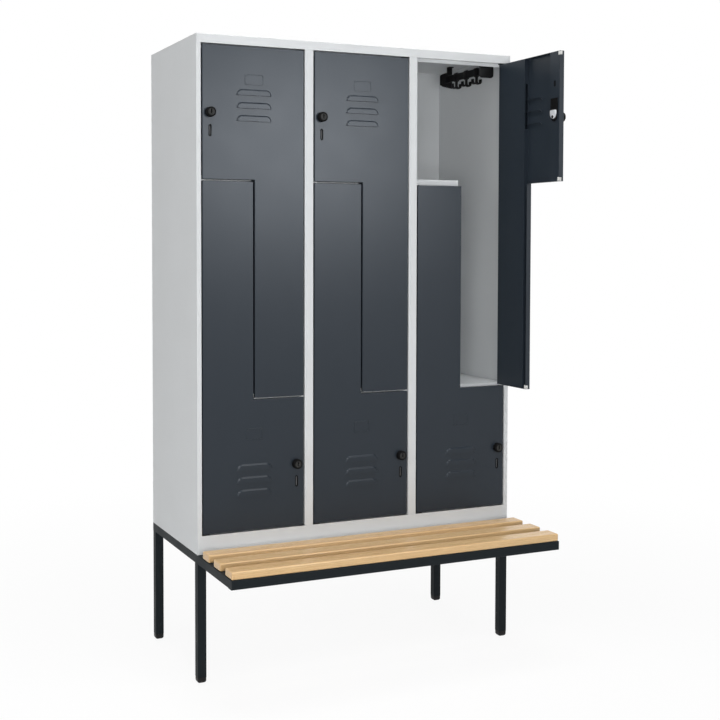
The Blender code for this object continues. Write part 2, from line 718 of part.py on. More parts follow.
def door_mesh(door):
    tray = helper(door_tray(door))
    combine(tray, louvre_hoods(door), "UNION")
    combine(tray, door_hollows(door), "DIFFERENCE")
    combine(tray, door_cuts(door), "DIFFERENCE")
    combine(tray, hinge_pins(door), "UNION")
    return baked(tray, f"door_{door.name}")


def lock_housing_mesh():
    """Collar and barrel, turned, with the nut and lock box behind the door."""
    rear = -DOOR_THICKNESS - SEAT_GAP
    back = rear - LOCK_BOX_THICKNESS
    bore = PLUG_RADIUS + PLUG_CLEARANCE
    recess = DISC_RADIUS + PLUG_CLEARANCE
    shelf = COLLAR_HEIGHT - DISC_THICKNESS - PLUG_CLEARANCE
    profile = [(recess, COLLAR_HEIGHT), (COLLAR_RADIUS - COLLAR_CHAMFER, COLLAR_HEIGHT)]
    profile += [(COLLAR_RADIUS, COLLAR_HEIGHT - COLLAR_CHAMFER), (COLLAR_RADIUS, SEAT_GAP)]
    profile += [(BARREL_RADIUS, SEAT_GAP), (BARREL_RADIUS, rear), (LOCK_NUT_RADIUS, rear)]
    profile += [(LOCK_NUT_RADIUS, back), (bore, back), (bore, shelf), (recess, shelf)]
    body = helper(turned("lock_housing", profile))
    half = LOCK_BOX_WIDTH / 2
    height = (LOCK_BOX_RISE, LOCK_BOX_RISE + LOCK_BOX_HEIGHT)
    combine(body, box("lock_box", (-half, half), (-rear, -back), height), "UNION")
    return smooth(baked(body, "lock_housing"))


def lock_plug_mesh():
    """Keyway disc, shaft, D-shaped cam behind the stop lip and its nut."""
    face = COLLAR_HEIGHT - PLUG_CLEARANCE / 2
    cam_front = STOP_BACK + CAM_CLEARANCE
    cam_back = cam_front + CAM_THICKNESS
    bm = bmesh.new()
    add_prism(bm, circle((0, 0), PLUG_RADIUS), "Y", -face + OVERLAP, cam_front + OVERLAP)
    plug = helper(mesh_of(bm, "plug_shaft"))
    disc = prism("disc", circle((0, 0), DISC_RADIUS), "Y", -face, -face + DISC_THICKNESS)
    combine(plug, disc, "UNION")
    wide = CAM_WIDTH / 2
    shoulder = CAM_LENGTH - CAM_CORNER
    cam = arc((0, wide - CAM_HEEL), wide, 180, 360, HALF_ROUND_STEPS)
    cam += [(wide, shoulder), (wide - CAM_CORNER, CAM_LENGTH)]
    cam += [(CAM_CORNER - wide, CAM_LENGTH), (-wide, shoulder)]
    combine(plug, prism("cam", cam, "Y", cam_front, cam_back), "UNION")
    nut = circle((0, 0), CAM_NUT_RADIUS, NUT_SIDES)
    nut_span = (cam_back - OVERLAP, cam_back + CAM_NUT_HEIGHT)
    combine(plug, prism("nut", nut, "Y", *nut_span), "UNION")
    half = KEYWAY_WIDTH / 2
    reach = KEYWAY_LENGTH / 2
    keyway = box("keyway", (-half, half), (-face - PAST, -face + KEYWAY_DEPTH), (-reach, reach))
    combine(plug, keyway, "DIFFERENCE")
    return smooth(baked(plug, "lock_plug"))


def doors():
    housing = lock_housing_mesh()
    plug = lock_plug_mesh()
    for door in (UPPER, LOWER):
        mesh = door_mesh(door)
        for column in range(COLUMNS):
            is_open = door is UPPER and column == OPEN_COLUMN
            turn = math.radians(OPEN_ANGLE) if is_open else 0.0
            pins = (column_left(column) + door.column_x(), PIN_DEPTH, door.bottom)
            tag = f"{door.name}_{column + 1}"
            leaf = place(f"door_{tag}", mesh, ANTHRACITE, DATUM, pins, turn)
            x, z = lock_centre(door)
            axis = (x, -PIN_DEPTH, z)
            place(f"lock_housing_{tag}", housing, BLACK_PLASTIC, leaf, axis)
            place(f"lock_plug_{tag}", plug, ZINC, leaf, axis)


def coat_rail_mesh():
    """Bar between two end plates with feet against the ceiling, where its origin is.

    The front plate is whole, and the rear one hangs from a neck and narrows towards its tip.
    """
    plates = bmesh.new()
    top = -SEAT_GAP
    low = -RAIL_PLATE_HEIGHT
    half = RAIL_PLATE_WIDTH / 2
    radius = RAIL_PLATE_CORNER
    outline = [(half, top), (-half, top)]
    outline += arc((-half + radius, low + radius), radius, 180, 270)
    outline += arc((half - radius, low + radius), radius, 270, 360)
    tip = TAIL_TAPER / 2
    tail = [(TAIL_WIDTH - half, top), (TAIL_WIDTH - half, -TAIL_BOTTOM)]
    tail += [(TAIL_TAPER - half, tip - TAIL_BOTTOM), (-half, -TAIL_TIP_BOTTOM)]
    tail += [(-half, -TAIL_TIP_TOP), (TAIL_TAPER - half, -TAIL_TOP - tip)]
    tail += [(TAIL_WIDTH - half - NECK_WIDTH, -TAIL_TOP), (TAIL_WIDTH - half - NECK_WIDTH, top)]
    add_prism(plates, outline, "Y", 0.0, RAIL_PLATE_THICKNESS)
    add_prism(plates, tail, "Y", RAIL_LENGTH - RAIL_PLATE_THICKNESS, RAIL_LENGTH)
    rail = helper(mesh_of(plates, "end_plates"))
    inside = RAIL_PLATE_THICKNESS - OVERLAP
    bar = rounded(BAR_WIDTH, BAR_HEIGHT, BAR_CORNER, (0, -BAR_DROP), BAR_CORNER_STEPS)
    combine(rail, prism("bar", bar, "Y", inside, RAIL_LENGTH - inside), "UNION")
    foot_z = (top - RAIL_FOOT_THICKNESS, top)
    front_foot = ((-half, half), (inside, RAIL_FOOT_LENGTH), foot_z)
    neck = (TAIL_WIDTH - half - NECK_WIDTH, TAIL_WIDTH - half)
    rear_foot = (neck, (RAIL_LENGTH - RAIL_FOOT_LENGTH, RAIL_LENGTH - inside), foot_z)
    combine(rail, boxes("feet", [front_foot, rear_foot]), "UNION")
    return baked(rail, "coat_rail")


def coat_hook_mesh():
    """A band round the bar with a stem and two curls below it; its origin is the bar's middle."""
    gap = BAR_WIDTH + 2 * HOOK_CLEARANCE
    rise = BAR_HEIGHT + 2 * HOOK_CLEARANCE
    wall = 2 * HOOK_THICKNESS
    corner = BAR_CORNER + HOOK_CLEARANCE
    span = (-HOOK_WIDTH / 2, HOOK_WIDTH / 2)
    outer = rounded(gap + wall, rise + wall, corner + HOOK_THICKNESS, (0, 0), BAR_CORNER_STEPS)
    inner = rounded(gap, rise, corner, (0, 0), BAR_CORNER_STEPS)
    hook = helper(prism("band", outer, "Y", *span))
    combine(hook, prism("band_hole", inner, "Y", span[0] - PAST, span[1] + PAST), "DIFFERENCE")
    half = HOOK_THICKNESS / 2
    bottom = -(rise + wall) / 2
    height = bottom - HOOK_STEM
    stem = box("stem", (-half, half), span, (height - half, bottom + half))
    combine(hook, stem, "UNION")
    for side in (-1, 1):
        middle = (side * HOOK_CURL_RADIUS, height)
        start = 180 if side > 0 else 0
        end = start + side * HOOK_CURL_TURN
        curl = arc(middle, HOOK_CURL_RADIUS + half, start, end, CURL_STEPS)
        curl += arc(middle, HOOK_CURL_RADIUS - half, end, start, CURL_STEPS)
        combine(hook, prism("curl", curl, "Y", *span), "UNION")
    return smooth(baked(hook, "coat_hook"), HOOK_SMOOTH_ANGLE)


def coat_rails():
    rail = coat_rail_mesh()
    hook = coat_hook_mesh()
    narrow_middle = (COLUMN_PITCH / 2 - DIVIDER_WEB_OFFSET) / 2
    spots = (
        ("upper", COLUMN_PITCH - RAIL_FROM_HINGE_WALL, CEILING),
        ("lower", narrow_middle, STEP_SHELF_TOP - BODY_SHEET),
    )
    for level, x, ceiling in spots:
        for column in range(COLUMNS):
            tag = f"{level}_{column + 1}"
            at = (column_left(column) + x, RAIL_START, ceiling)
            carrier = place(f"coat_rail_{tag}", rail, BLACK_PLASTIC, DATUM, at)
            for number in range(HOOKS):
                along = HOOK_FIRST - RAIL_START + number * HOOK_PITCH
                spot = (0, along, SEAT_GAP - HOOK_CLEARANCE - BAR_DROP)
                place(f"coat_hook_{tag}_{number + 1}", hook, BLACK_PLASTIC, carrier, spot)


def rectangle(x, y):
    return [(x[0], y[0]), (x[1], y[0]), (x[1], y[1]), (x[0], y[1])]


def frame_layer(name, grow, z):
    """Side rails with the front, middle and rear rail between them, as one plate with two holes.

    grow moves every edge outwards, and inwards where it is negative.
    """
    curve = bpy.data.curves.new(name, "CURVE")
    curve.dimensions = "2D"
    curve.fill_mode = "BOTH"
    curve.extrude = (z[1] - z[0]) / 2
    inner_x = (TUBE_SIZE + grow, BODY_WIDTH - TUBE_SIZE - grow)
    loops = [rectangle((-grow, BODY_WIDTH + grow), (-BENCH_REACH - grow, BODY_DEPTH + grow))]
    loops += [rectangle(inner_x, (-BENCH_REACH + TUBE_SIZE + grow, -grow))]
    loops += [rectangle(inner_x, (TUBE_SIZE + grow, BODY_DEPTH - TUBE_SIZE - grow))]
    for loop in loops:
        spline = curve.splines.new("POLY")
        spline.points.add(len(loop) - 1)
        for point, (x, y) in zip(spline.points, loop):
            point.co = (x, y, 0, 1)
        spline.use_cyclic_u = True
    guide = bpy.data.objects.new(name, curve)
    CUTTERS.objects.link(guide)
    bm = bmesh.new()
    bm.from_mesh(baked(guide, name))
    bmesh.ops.remove_doubles(bm, verts=bm.verts, dist=ON_PLANE)
    bmesh.ops.translate(bm, verts=bm.verts, vec=(0, 0, (z[0] + z[1]) / 2))
    return mesh_of(bm, name)


def leg_corners():
    """Outer corners of the four legs, with the way to each leg's middle."""
    return [
        (x, y, inward_x, inward_y)
        for x, inward_x in ((0.0, 1), (BODY_WIDTH, -1))
        for y, inward_y in ((0.0, 1), (BODY_DEPTH, -1))
    ]


def leg_spans(wall, z):
    return [
        (
            sorted((x + way_x * wall, x + way_x * (TUBE_SIZE - wall))),
            sorted((y + way_y * wall, y + way_y * (TUBE_SIZE - wall))),
            z,
        )
        for x, y, way_x, way_y in leg_corners()
    ]


def bench_frame():
    rail_middle = -TUBE_SIZE / 2
    leg_end = -BENCH_HEIGHT + FOOT_HEIGHT + SEAT_GAP
    frame = place("bench_frame", frame_layer("bench_frame", 0.0, (-TUBE_SIZE, 0.0)), BLACK_GREY)
    combine(frame, boxes("legs", leg_spans(0.0, (leg_end, rail_middle))), "UNION")
    bore_z = (-TUBE_SIZE + TUBE_WALL, -TUBE_WALL)
    combine(frame, frame_layer("rail_bores", -TUBE_WALL, bore_z), "DIFFERENCE")
    bores = boxes("leg_bores", leg_spans(TUBE_WALL, (leg_end - PAST, rail_middle)))
    combine(frame, bores, "DIFFERENCE")


def foot_mesh():
    """A cap with a rounded foot, and the plug that holds it in the leg; its origin is the floor."""
    half = TUBE_SIZE / 2
    bm = bmesh.new()
    add_box(bm, (-half, half), (-half, half), (0, FOOT_HEIGHT))
    bmesh.ops.recalc_face_normals(bm, faces=bm.faces)
    lower = [edge for edge in bm.edges if all(vert.co.z < ON_PLANE for vert in edge.verts)]
    bmesh.ops.bevel(bm, geom=lower, offset=FOOT_ROUNDING, segments=FOOT_STEPS, profile=0.5, affect="EDGES")
    cap = helper(mesh_of(bm, "foot_cap"))
    grip = half - TUBE_WALL - FOOT_PLUG_CLEARANCE
    height = (FOOT_HEIGHT - OVERLAP, FOOT_HEIGHT + FOOT_PLUG_LENGTH)
    combine(cap, box("foot_plug", (-grip, grip), (-grip, grip), height), "UNION")
    return smooth(baked(cap, "foot_cap"))


def feet():
    mesh = foot_mesh()
    names = ("front_left", "rear_left", "front_right", "rear_right")
    for name, (x, y, way_x, way_y) in zip(names, leg_corners()):
        centre = (x + way_x * TUBE_SIZE / 2, y + way_y * TUBE_SIZE / 2, -BENCH_HEIGHT)
        place(f"foot_cap_{name}", mesh, BLACK_PLASTIC, DATUM, centre)


def slats():
    gap = (BENCH_REACH - SLAT_INSET - SLATS * SLAT_WIDTH) / SLATS
    x = (SLAT_INSET, BODY_WIDTH - SLAT_INSET)
    z = (SEAT_GAP, SEAT_GAP + SLAT_THICKNESS)
    for number in range(SLATS):
        rear = -gap - number * (SLAT_WIDTH + gap)
        name = f"bench_slat_{number + 1}"
        slat = place(name, box(name, x, (rear - SLAT_WIDTH, rear), z), BEECH)
        rounding = slat.modifiers.new("rounding", "BEVEL")
        rounding.width = SLAT_ROUNDING
        rounding.segments = CORNER_STEPS


side_panels()
partitions()
floor_and_roof()
back_panel()
dividers()
doors()
coat_rails()
bench_frame()
feet()
slats()
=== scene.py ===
"""The looks of a steel clothes locker on a bench frame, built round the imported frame.

Every length is in metres. Sizes of the body are measured from its front left corner on the
bench frame, and sizes of a door from its hinge pins, as in the part's own source.
"""

import logging
import math
from dataclasses import dataclass
from enum import Enum
from typing import Iterable, Sequence

import bmesh
import bpy
from mathutils import Matrix, Vector


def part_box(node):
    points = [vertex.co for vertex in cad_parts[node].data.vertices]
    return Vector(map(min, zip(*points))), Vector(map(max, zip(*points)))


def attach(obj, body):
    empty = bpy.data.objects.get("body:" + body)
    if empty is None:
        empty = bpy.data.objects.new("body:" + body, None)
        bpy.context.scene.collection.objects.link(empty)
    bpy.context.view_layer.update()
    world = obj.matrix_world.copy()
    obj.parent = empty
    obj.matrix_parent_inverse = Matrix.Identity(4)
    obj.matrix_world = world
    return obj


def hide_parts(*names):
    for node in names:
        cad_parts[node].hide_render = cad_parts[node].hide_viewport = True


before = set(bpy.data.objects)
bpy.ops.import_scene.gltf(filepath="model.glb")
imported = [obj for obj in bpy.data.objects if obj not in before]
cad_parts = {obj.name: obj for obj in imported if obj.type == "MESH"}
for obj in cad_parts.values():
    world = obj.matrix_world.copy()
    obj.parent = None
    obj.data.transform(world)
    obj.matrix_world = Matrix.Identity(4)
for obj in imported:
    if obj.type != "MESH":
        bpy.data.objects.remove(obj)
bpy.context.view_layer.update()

LOG = logging.getLogger("locker")
Point = tuple[float, float]
Span = tuple[float, float]
Triple = tuple[float, float, float]
Mesh = bpy.types.Mesh
Socket = bpy.types.NodeSocket


class Slot(Enum):
    """The record's material slots."""

    LIGHT_GREY = "light_grey_coating"
    ANTHRACITE = "anthracite_coating"
    BLACK_GREY = "black_grey_coating"
    BLACK_PLASTIC = "black_plastic"
    ZINC = "zinc_plated_steel"
    BEECH = "lacquered_beech"


class Along(Enum):
    """The axis that an outline is drawn out along."""

    X = "X"
    Y = "Y"
    Z = "Z"

    def point(self, along: float, a: float, b: float) -> Triple:
        """Returns the point of an outline at a place along this axis."""
        return {"X": (along, a, b), "Y": (a, along, b), "Z": (a, b, along)}[self.value]


# Outlines


def arc(centre: Point, radius: float, start: float, end: float, steps: int) -> list[Point]:
    """Points round a centre.

    Args:
        centre: Middle of the arc.
        radius: Its radius.
        start: First angle in degrees.
        end: Last angle in degrees.
        steps: Straight pieces between them.

    Returns:
        steps + 1 points.
    """
    turns = [math.radians(start + (end - start) * i / steps) for i in range(steps + 1)]
    return [(centre[0] + radius * math.cos(t), centre[1] + radius * math.sin(t)) for t in turns]


def circle(radius: float, steps: int = 32, centre: Point = (0.0, 0.0)) -> list[Point]:
    """Returns a closed round outline."""
    return arc(centre, radius, 0.0, 360.0, steps)[:-1]


def rounded(x: Span, y: Span, radius: float, steps: int) -> list[Point]:
    """Makes a rectangle's closed outline with round corners.

    Args:
        x: Its sides along the first axis.
        y: Its sides along the second axis.
        radius: Radius of its corners.
        steps: Straight pieces in each corner.

    Returns:
        Its points.
    """
    low_x, high_x, low_y, high_y = x[0] + radius, x[1] - radius, y[0] + radius, y[1] - radius
    centres = ((high_x, high_y), (low_x, high_y), (low_x, low_y), (high_x, low_y))
    points: list[Point] = []
    for quarter, centre in enumerate(centres):
        points += arc(centre, radius, 90.0 * quarter, 90.0 * quarter + 90.0, steps)
    return points


def upright_slot(centre: Point, size: Point, steps: int = 10) -> list[Point]:
    """Makes an upright slot's closed outline with half-round ends.

    Args:
        centre: Its middle.
        size: Its width and height.
        steps: Straight pieces in each end.

    Returns:
        Its points.
    """
    reach, radius = (size[1] - size[0]) / 2, size[0] / 2
    top = arc((centre[0], centre[1] + reach), radius, 0.0, 180.0, steps)
    return top + arc((centre[0], centre[1] - reach), radius, 180.0, 360.0, steps)


def quarter_round(radius: float, steps: int) -> list[Point]:
    """Makes the points of a rounded rim, from the side of a shape to its end face.

    Args:
        radius: The rim's radius.
        steps: Straight pieces in it.

    Returns:
        How far each point lies from the end face and how far inwards.
    """
    turns = [math.pi / 2 * i / steps for i in range(steps + 1)]
    return [(radius * (1 - math.sin(turn)), radius * (1 - math.cos(turn))) for turn in turns]


def ease(t: float) -> float:
    """Returns a smooth step from 0 to 1."""
    return t * t * (3.0 - 2.0 * t)


def about(middle: float, width: float) -> Span:
    """Returns the span of a width round a middle."""
    return middle - width / 2, middle + width / 2


def between(first: float, second: float) -> Span:
    """Returns the span between two values, the lower one first."""
    return min(first, second), max(first, second)


def shifted(span: Span, by: float) -> Span:
    """Returns a span moved along its axis."""
    return by + span[0], by + span[1]


def scaled(colour: Triple, share: float) -> Triple:
    """Returns a colour made brighter or darker."""
    return tuple(c * share for c in colour)


# Meshes


class Carve(Enum):
    """What a tool does to the shapes that it works on."""

    JOIN = "UNION"
    CUT = "DIFFERENCE"


class Crease(Enum):
    """Angles in degrees beyond which faces meet sharply."""

    SHEET = 32.0
    DRILLED = 34.0
    TURNED = 38.0
    SMALL = 40.0
    DOMED = 50.0
    RIPPLED = 60.0


class Solids:
    """Gathers closed shapes in one mesh."""

    def __init__(self) -> None:
        """Starts with nothing in it."""
        self.bm = bmesh.new()

    def loft(self, rings: Sequence[Sequence[Triple]]) -> "Solids":
        """Adds a closed shape through like rings of points.

        Args:
            rings: Rings with the same number of points, first and last closed by a face.

        Returns:
            This object.
        """
        made = [[self.bm.verts.new(point) for point in ring] for ring in rings]
        count = len(made[0])
        self.bm.faces.new(made[0])
        self.bm.faces.new(made[-1])
        for low, high in zip(made, made[1:]):
            for i in range(count):
                j = (i + 1) % count
                self.bm.faces.new((low[i], low[j], high[j], high[i]))
        return self

    def stack(self, along: Along, layers: Iterable[tuple[float, Sequence[Point]]]) -> "Solids":
        """Adds a closed shape through like outlines, each at its place along an axis."""
        return self.loft([[along.point(place, a, b) for a, b in outline] for place, outline in layers])

    def prism(self, outline: Sequence[Point], along: Along, span: Span) -> "Solids":
        """Adds an outline drawn out along an axis."""
        return self.stack(along, [(place, outline) for place in span])

    def box(self, x: Span, y: Span, z: Span) -> "Solids":
        """Adds a box between two values on each axis."""
        corners = ((x[0], y[0]), (x[1], y[0]), (x[1], y[1]), (x[0], y[1]))
        return self.prism(corners, Along.Z, z)

    def soft_box(self, x: Span, y: Span, z: Span, radius: float, steps: int = 3) -> "Solids":
        """Adds a box whose edges are all rounded.

        Args:
            x: Its sides along X.
            y: Its sides along Y.
            z: Its sides along Z.
            radius: Radius of its edges.
            steps: Straight pieces across each edge.

        Returns:
            This object.
        """
        other = Solids().box(x, y, z)
        bmesh.ops.bevel(
            other.bm, geom=other.bm.edges, affect="EDGES", offset=radius, segments=steps, profile=0.5
        )
        return self.take(other)

    def soft_prism(self, outline: Sequence[Point], along: Along, span: Span, radius: float,
                   steps: int = 3) -> "Solids":
        """Adds an outline drawn out along an axis, with both rims rounded inwards.

        Args:
            outline: The outline, each side of which is moved inwards at the rims.
            along: The axis.
            span: Its ends on that axis, the lower one first.
            radius: Radius of its rims.
            steps: Straight pieces across each rim.

        Returns:
            This object.
        """
        rims = quarter_round(radius, steps)
        layers = [(span[0] + place, inset) for place, inset in rims[::-1]]
        layers += [(span[1] - place, inset) for place, inset in rims]
        return self.stack(along, ((place, shrunk(outline, inset)) for place, inset in layers))

    def turned(self, profile: Sequence[Point], steps: int = 48) -> "Solids":
        """Adds a closed profile turned about the axis that looks along -Y.

        Args:
            profile: Points of radius and forward place.
            steps: Facets round the axis.

        Returns:
            This object.
        """
        rings = []
        for i in range(steps):
            turn = 2 * math.pi * i / steps
            rings.append([
                self.bm.verts.new((radius * math.cos(turn), -forward, radius * math.sin(turn)))
                for radius, forward in profile
            ])
        count = len(profile)
        for i in range(steps):
            here, there = rings[i], rings[(i + 1) % steps]
            for j in range(count):
                k = (j + 1) % count
                self.bm.faces.new((here[j], here[k], there[k], there[j]))
        return self

    def swept(self, path: Sequence[Vector], outline: Sequence[Point], side: Vector) -> "Solids":
        """Adds an outline swept along an open path.

        Args:
            path: Points of the path.
            outline: Section, as distances along side and square to it.
            side: Direction that the section's first number runs along, square to the path.

        Returns:
            This object.
        """
        rings = []
        for i, point in enumerate(path):
            ahead = (path[min(i + 1, len(path) - 1)] - path[max(i - 1, 0)]).normalized()
            up = ahead.cross(side).normalized()
            rings.append([tuple(point + side * a + up * b) for a, b in outline])
        return self.loft(rings)

    def take(self, *others: "Solids") -> "Solids":
        """Moves other gatherings' shapes into this one.

        Args:
            others: The gatherings, which can't be used again.

        Returns:
            This object.
        """
        for other in others:
            spare = bpy.data.meshes.new("spare")
            other.bm.to_mesh(spare)
            other.bm.free()
            self.bm.from_mesh(spare)
            bpy.data.meshes.remove(spare)
        return self

    def moved(self, matrix: Matrix) -> "Solids":
        """Moves every shape by a matrix."""
        bmesh.ops.transform(self.bm, matrix=matrix, verts=self.bm.verts)
        return self

    def flat(self, name: str) -> Mesh:
        """Makes one flat-shaded mesh of the shapes and lets the working copy go.

        Args:
            name: The mesh's name.

        Returns:
            The mesh.
        """
        bmesh.ops.recalc_face_normals(self.bm, faces=self.bm.faces)
        mesh = bpy.data.meshes.new(name)
        self.bm.to_mesh(mesh)
        self.bm.free()
        return mesh

    def smooth(self, name: str, crease: Crease, *steps: tuple[Carve, "Solids"]) -> Mesh:
        """Joins and cuts other shapes in turn, and shades what is left smoothly.

        Args:
            name: The mesh's name.
            crease: Where its faces meet sharply.
            steps: What is joined or cut, in order.

        Returns:
            The finished mesh.
        """
        mesh = carved(self.flat(name), steps) if steps else self.flat(name)
        mesh.shade_smooth()
        mesh.set_sharp_from_angle(angle=math.radians(crease.value))
        return mesh


def shrunk(outline: Sequence[Point], inset: float) -> list[Point]:
    """Moves every side of an outline inwards.

    Args:
        outline: A closed outline, which may run either way.
        inset: How far its sides move.

    Returns:
        The moved points.
    """
    sharpest = 0.2  # keeps the points of very sharp corners near
    count = len(outline)
    area = sum(
        outline[i][0] * outline[(i + 1) % count][1] - outline[(i + 1) % count][0] * outline[i][1]
        for i in range(count)
    )
    way = 1.0 if area > 0 else -1.0
    points: list[Point] = []
    for i in range(count):
        before = Vector(outline[i]) - Vector(outline[i - 1])
        after = Vector(outline[(i + 1) % count]) - Vector(outline[i])
        first = Vector((-before.y, before.x)).normalized() * way
        second = Vector((-after.y, after.x)).normalized() * way
        middle = first + second
        middle = middle / max(middle.length_squared / 2, sharpest)
        points.append(tuple(Vector(outline[i]) + middle * inset))
    return points


def carved(base: Mesh, steps: Iterable[tuple[Carve, Solids]]) -> Mesh:
    """Joins shapes to a mesh and cuts shapes out of it.

    Args:
        base: Mesh that is worked on.
        steps: What is joined or cut, in order.

    Returns:
        The finished mesh, under the first one's name.
    """
    name = base.name
    body = bpy.data.objects.new("carved", base)
    bpy.context.scene.collection.objects.link(body)
    tools = []
    for carve, solids in steps:
        tool = bpy.data.objects.new("tool", solids.flat("tool"))
        bpy.context.scene.collection.objects.link(tool)
        modifier = body.modifiers.new("carve", "BOOLEAN")
        modifier.operation = carve.value
        modifier.object = tool
        tools.append(tool)
    bpy.context.view_layer.update()
    graph = bpy.context.evaluated_depsgraph_get()
    mesh = bpy.data.meshes.new_from_object(body.evaluated_get(graph))
    for used in (body, *tools):
        bpy.data.objects.remove(used, do_unlink=True)
    mesh.name = name
    return mesh


# Finishes


class Graph:
    """A short way to write a node tree."""

    def __init__(self, tree: bpy.types.NodeTree) -> None:
        """Starts on a tree."""
        self.tree = tree

    def node(self, kind: str, **settings: object) -> bpy.types.Node:
        """Adds a node and sets its properties."""
        node = self.tree.nodes.new(kind)
        for name, value in settings.items():
            setattr(node, name, value)
        return node

    def link(self, source: Socket, target: Socket) -> None:
        """Joins two sockets."""
        self.tree.links.new(source, target)

    def place(self, scale: Triple = (1.0, 1.0, 1.0), shift: Triple = (0.0, 0.0, 0.0)) -> Socket:
        """Makes the piece's own coordinates in metres.

        Args:
            scale: What they are multiplied by.
            shift: What is added before that.

        Returns:
            The coordinates.
        """
        coordinates = self.node("ShaderNodeTexCoord")
        mapping = self.node("ShaderNodeMapping", vector_type="POINT")
        mapping.inputs["Scale"].default_value = scale
        mapping.inputs["Location"].default_value = tuple(a * b for a, b in zip(shift, scale))
        self.link(coordinates.outputs["Object"], mapping.inputs["Vector"])
        return mapping.outputs["Vector"]

    def noise(self, vector: Socket, scale: float, detail: float = 3.0) -> Socket:
        """Makes a noise of about 0 to 1.

        Args:
            vector: Where it is taken.
            scale: How fine it is.
            detail: How many finer layers it has.

        Returns:
            The noise.
        """
        node = self.node("ShaderNodeTexNoise")
        node.inputs["Scale"].default_value = scale
        node.inputs["Detail"].default_value = detail
        self.link(vector, node.inputs["Vector"])
        return node.outputs["Fac"]

    def ranged(self, value: Socket, source: Span = (0.3, 0.7), target: Span = (0.0, 1.0)) -> Socket:
        """Carries a value from one range to another, smoothly and held at its ends.

        Args:
            value: The value.
            source: Range that it comes from.
            target: Range that it goes to.

        Returns:
            The new value.
        """
        node = self.node("ShaderNodeMapRange", interpolation_type="SMOOTHSTEP")
        for name, number in zip(("From Min", "From Max", "To Min", "To Max"), (*source, *target)):
            node.inputs[name].default_value = number
        self.link(value, node.inputs["Value"])
        return node.outputs["Result"]

    def combine(self, operation: str, first: Socket, second: Socket) -> Socket:
        """Returns a value from 0 to 1 that an operation makes of two."""
        node = self.node("ShaderNodeMath", operation=operation, use_clamp=True)
        self.link(first, node.inputs[0])
        self.link(second, node.inputs[1])
        return node.outputs[0]

    def blend(self, share: Socket, first: object, second: object) -> Socket:
        """Makes a colour between two.

        Args:
            share: 0 for the first colour and 1 for the second.
            first: A socket or three numbers.
            second: A socket or three numbers.

        Returns:
            The colour.
        """
        node = self.node("ShaderNodeMix", data_type="RGBA")
        self.link(share, node.inputs[0])
        for socket, colour in ((node.inputs[6], first), (node.inputs[7], second)):
            if isinstance(colour, tuple):
                socket.default_value = (*colour, 1.0)
            else:
                self.link(colour, socket)
        return node.outputs[2]

    def mix(self, share: Socket, shaders: Sequence[bpy.types.Node], output: bpy.types.Node) -> None:
        """Sends a mix of two shaders to the surface of an output."""
        mixer = self.node("ShaderNodeMixShader")
        for source, target in zip((share, *(shader.outputs[0] for shader in shaders)), mixer.inputs):
            self.link(source, target)
        self.link(mixer.outputs[0], output.inputs["Surface"])

    def edges(self, radius: float) -> Socket:
        """Finds the edges of the piece.

        Args:
            radius: How far from an edge it counts as one, in metres.

        Returns:
            1 along the edges and 0 on the faces.
        """
        bevel = self.node("ShaderNodeBevel", samples=4)
        bevel.inputs["Radius"].default_value = radius
        geometry = self.node("ShaderNodeNewGeometry")
        dot = self.node("ShaderNodeVectorMath", operation="DOT_PRODUCT")
        self.link(bevel.outputs["Normal"], dot.inputs[0])
        self.link(geometry.outputs["Normal"], dot.inputs[1])
        return self.ranged(dot.outputs["Value"], (0.995, 0.85))

    def bump(self, height: Socket, depth: float, strength: float, under: Socket | None = None) -> Socket:
        """Makes a normal of a height.

        Args:
            height: Height from 0 to 1.
            depth: What a height of 1 is in metres.
            strength: Share of the effect that is kept.
            under: Normal that this one lies on.

        Returns:
            The normal.
        """
        node = self.node("ShaderNodeBump")
        node.inputs["Strength"].default_value = strength
        node.inputs["Distance"].default_value = depth
        self.link(height, node.inputs["Height"])
        if under is not None:
            self.link(under, node.inputs["Normal"])
        return node.outputs["Normal"]


class Surface(Graph):
    """The node tree of a new material with one Principled shader."""

    def __init__(self, name: str) -> None:
        """Starts the material.

        Args:
            name: The material's name.
        """
        self.material = bpy.data.materials.new(name)
        self.material.use_nodes = True
        super().__init__(self.material.node_tree)
        self.shader = self.tree.nodes["Principled BSDF"]
        self.output = self.tree.nodes["Material Output"]

    def finished(self, **values: object) -> bpy.types.Material:
        """Sets or links sockets of the shader, with _ for a space in their names.

        Args:
            values: A socket to link or a number for each socket's name.

        Returns:
            The material.
        """
        for name, value in values.items():
            socket = self.shader.inputs[name.replace("_", " ")]
            if isinstance(value, Socket):
                self.link(value, socket)
            else:
                socket.default_value = value
        return self.material


@dataclass(frozen=True)
class Finish:
    """A surface finish that makes its material once."""

    name: str
    slot: Slot

    def material(self) -> bpy.types.Material:
        """Returns the finish's material, made on first use."""
        return bpy.data.materials.get(self.name) or self.make()

    def make(self) -> bpy.types.Material:
        """Builds the material."""
        raise NotImplementedError


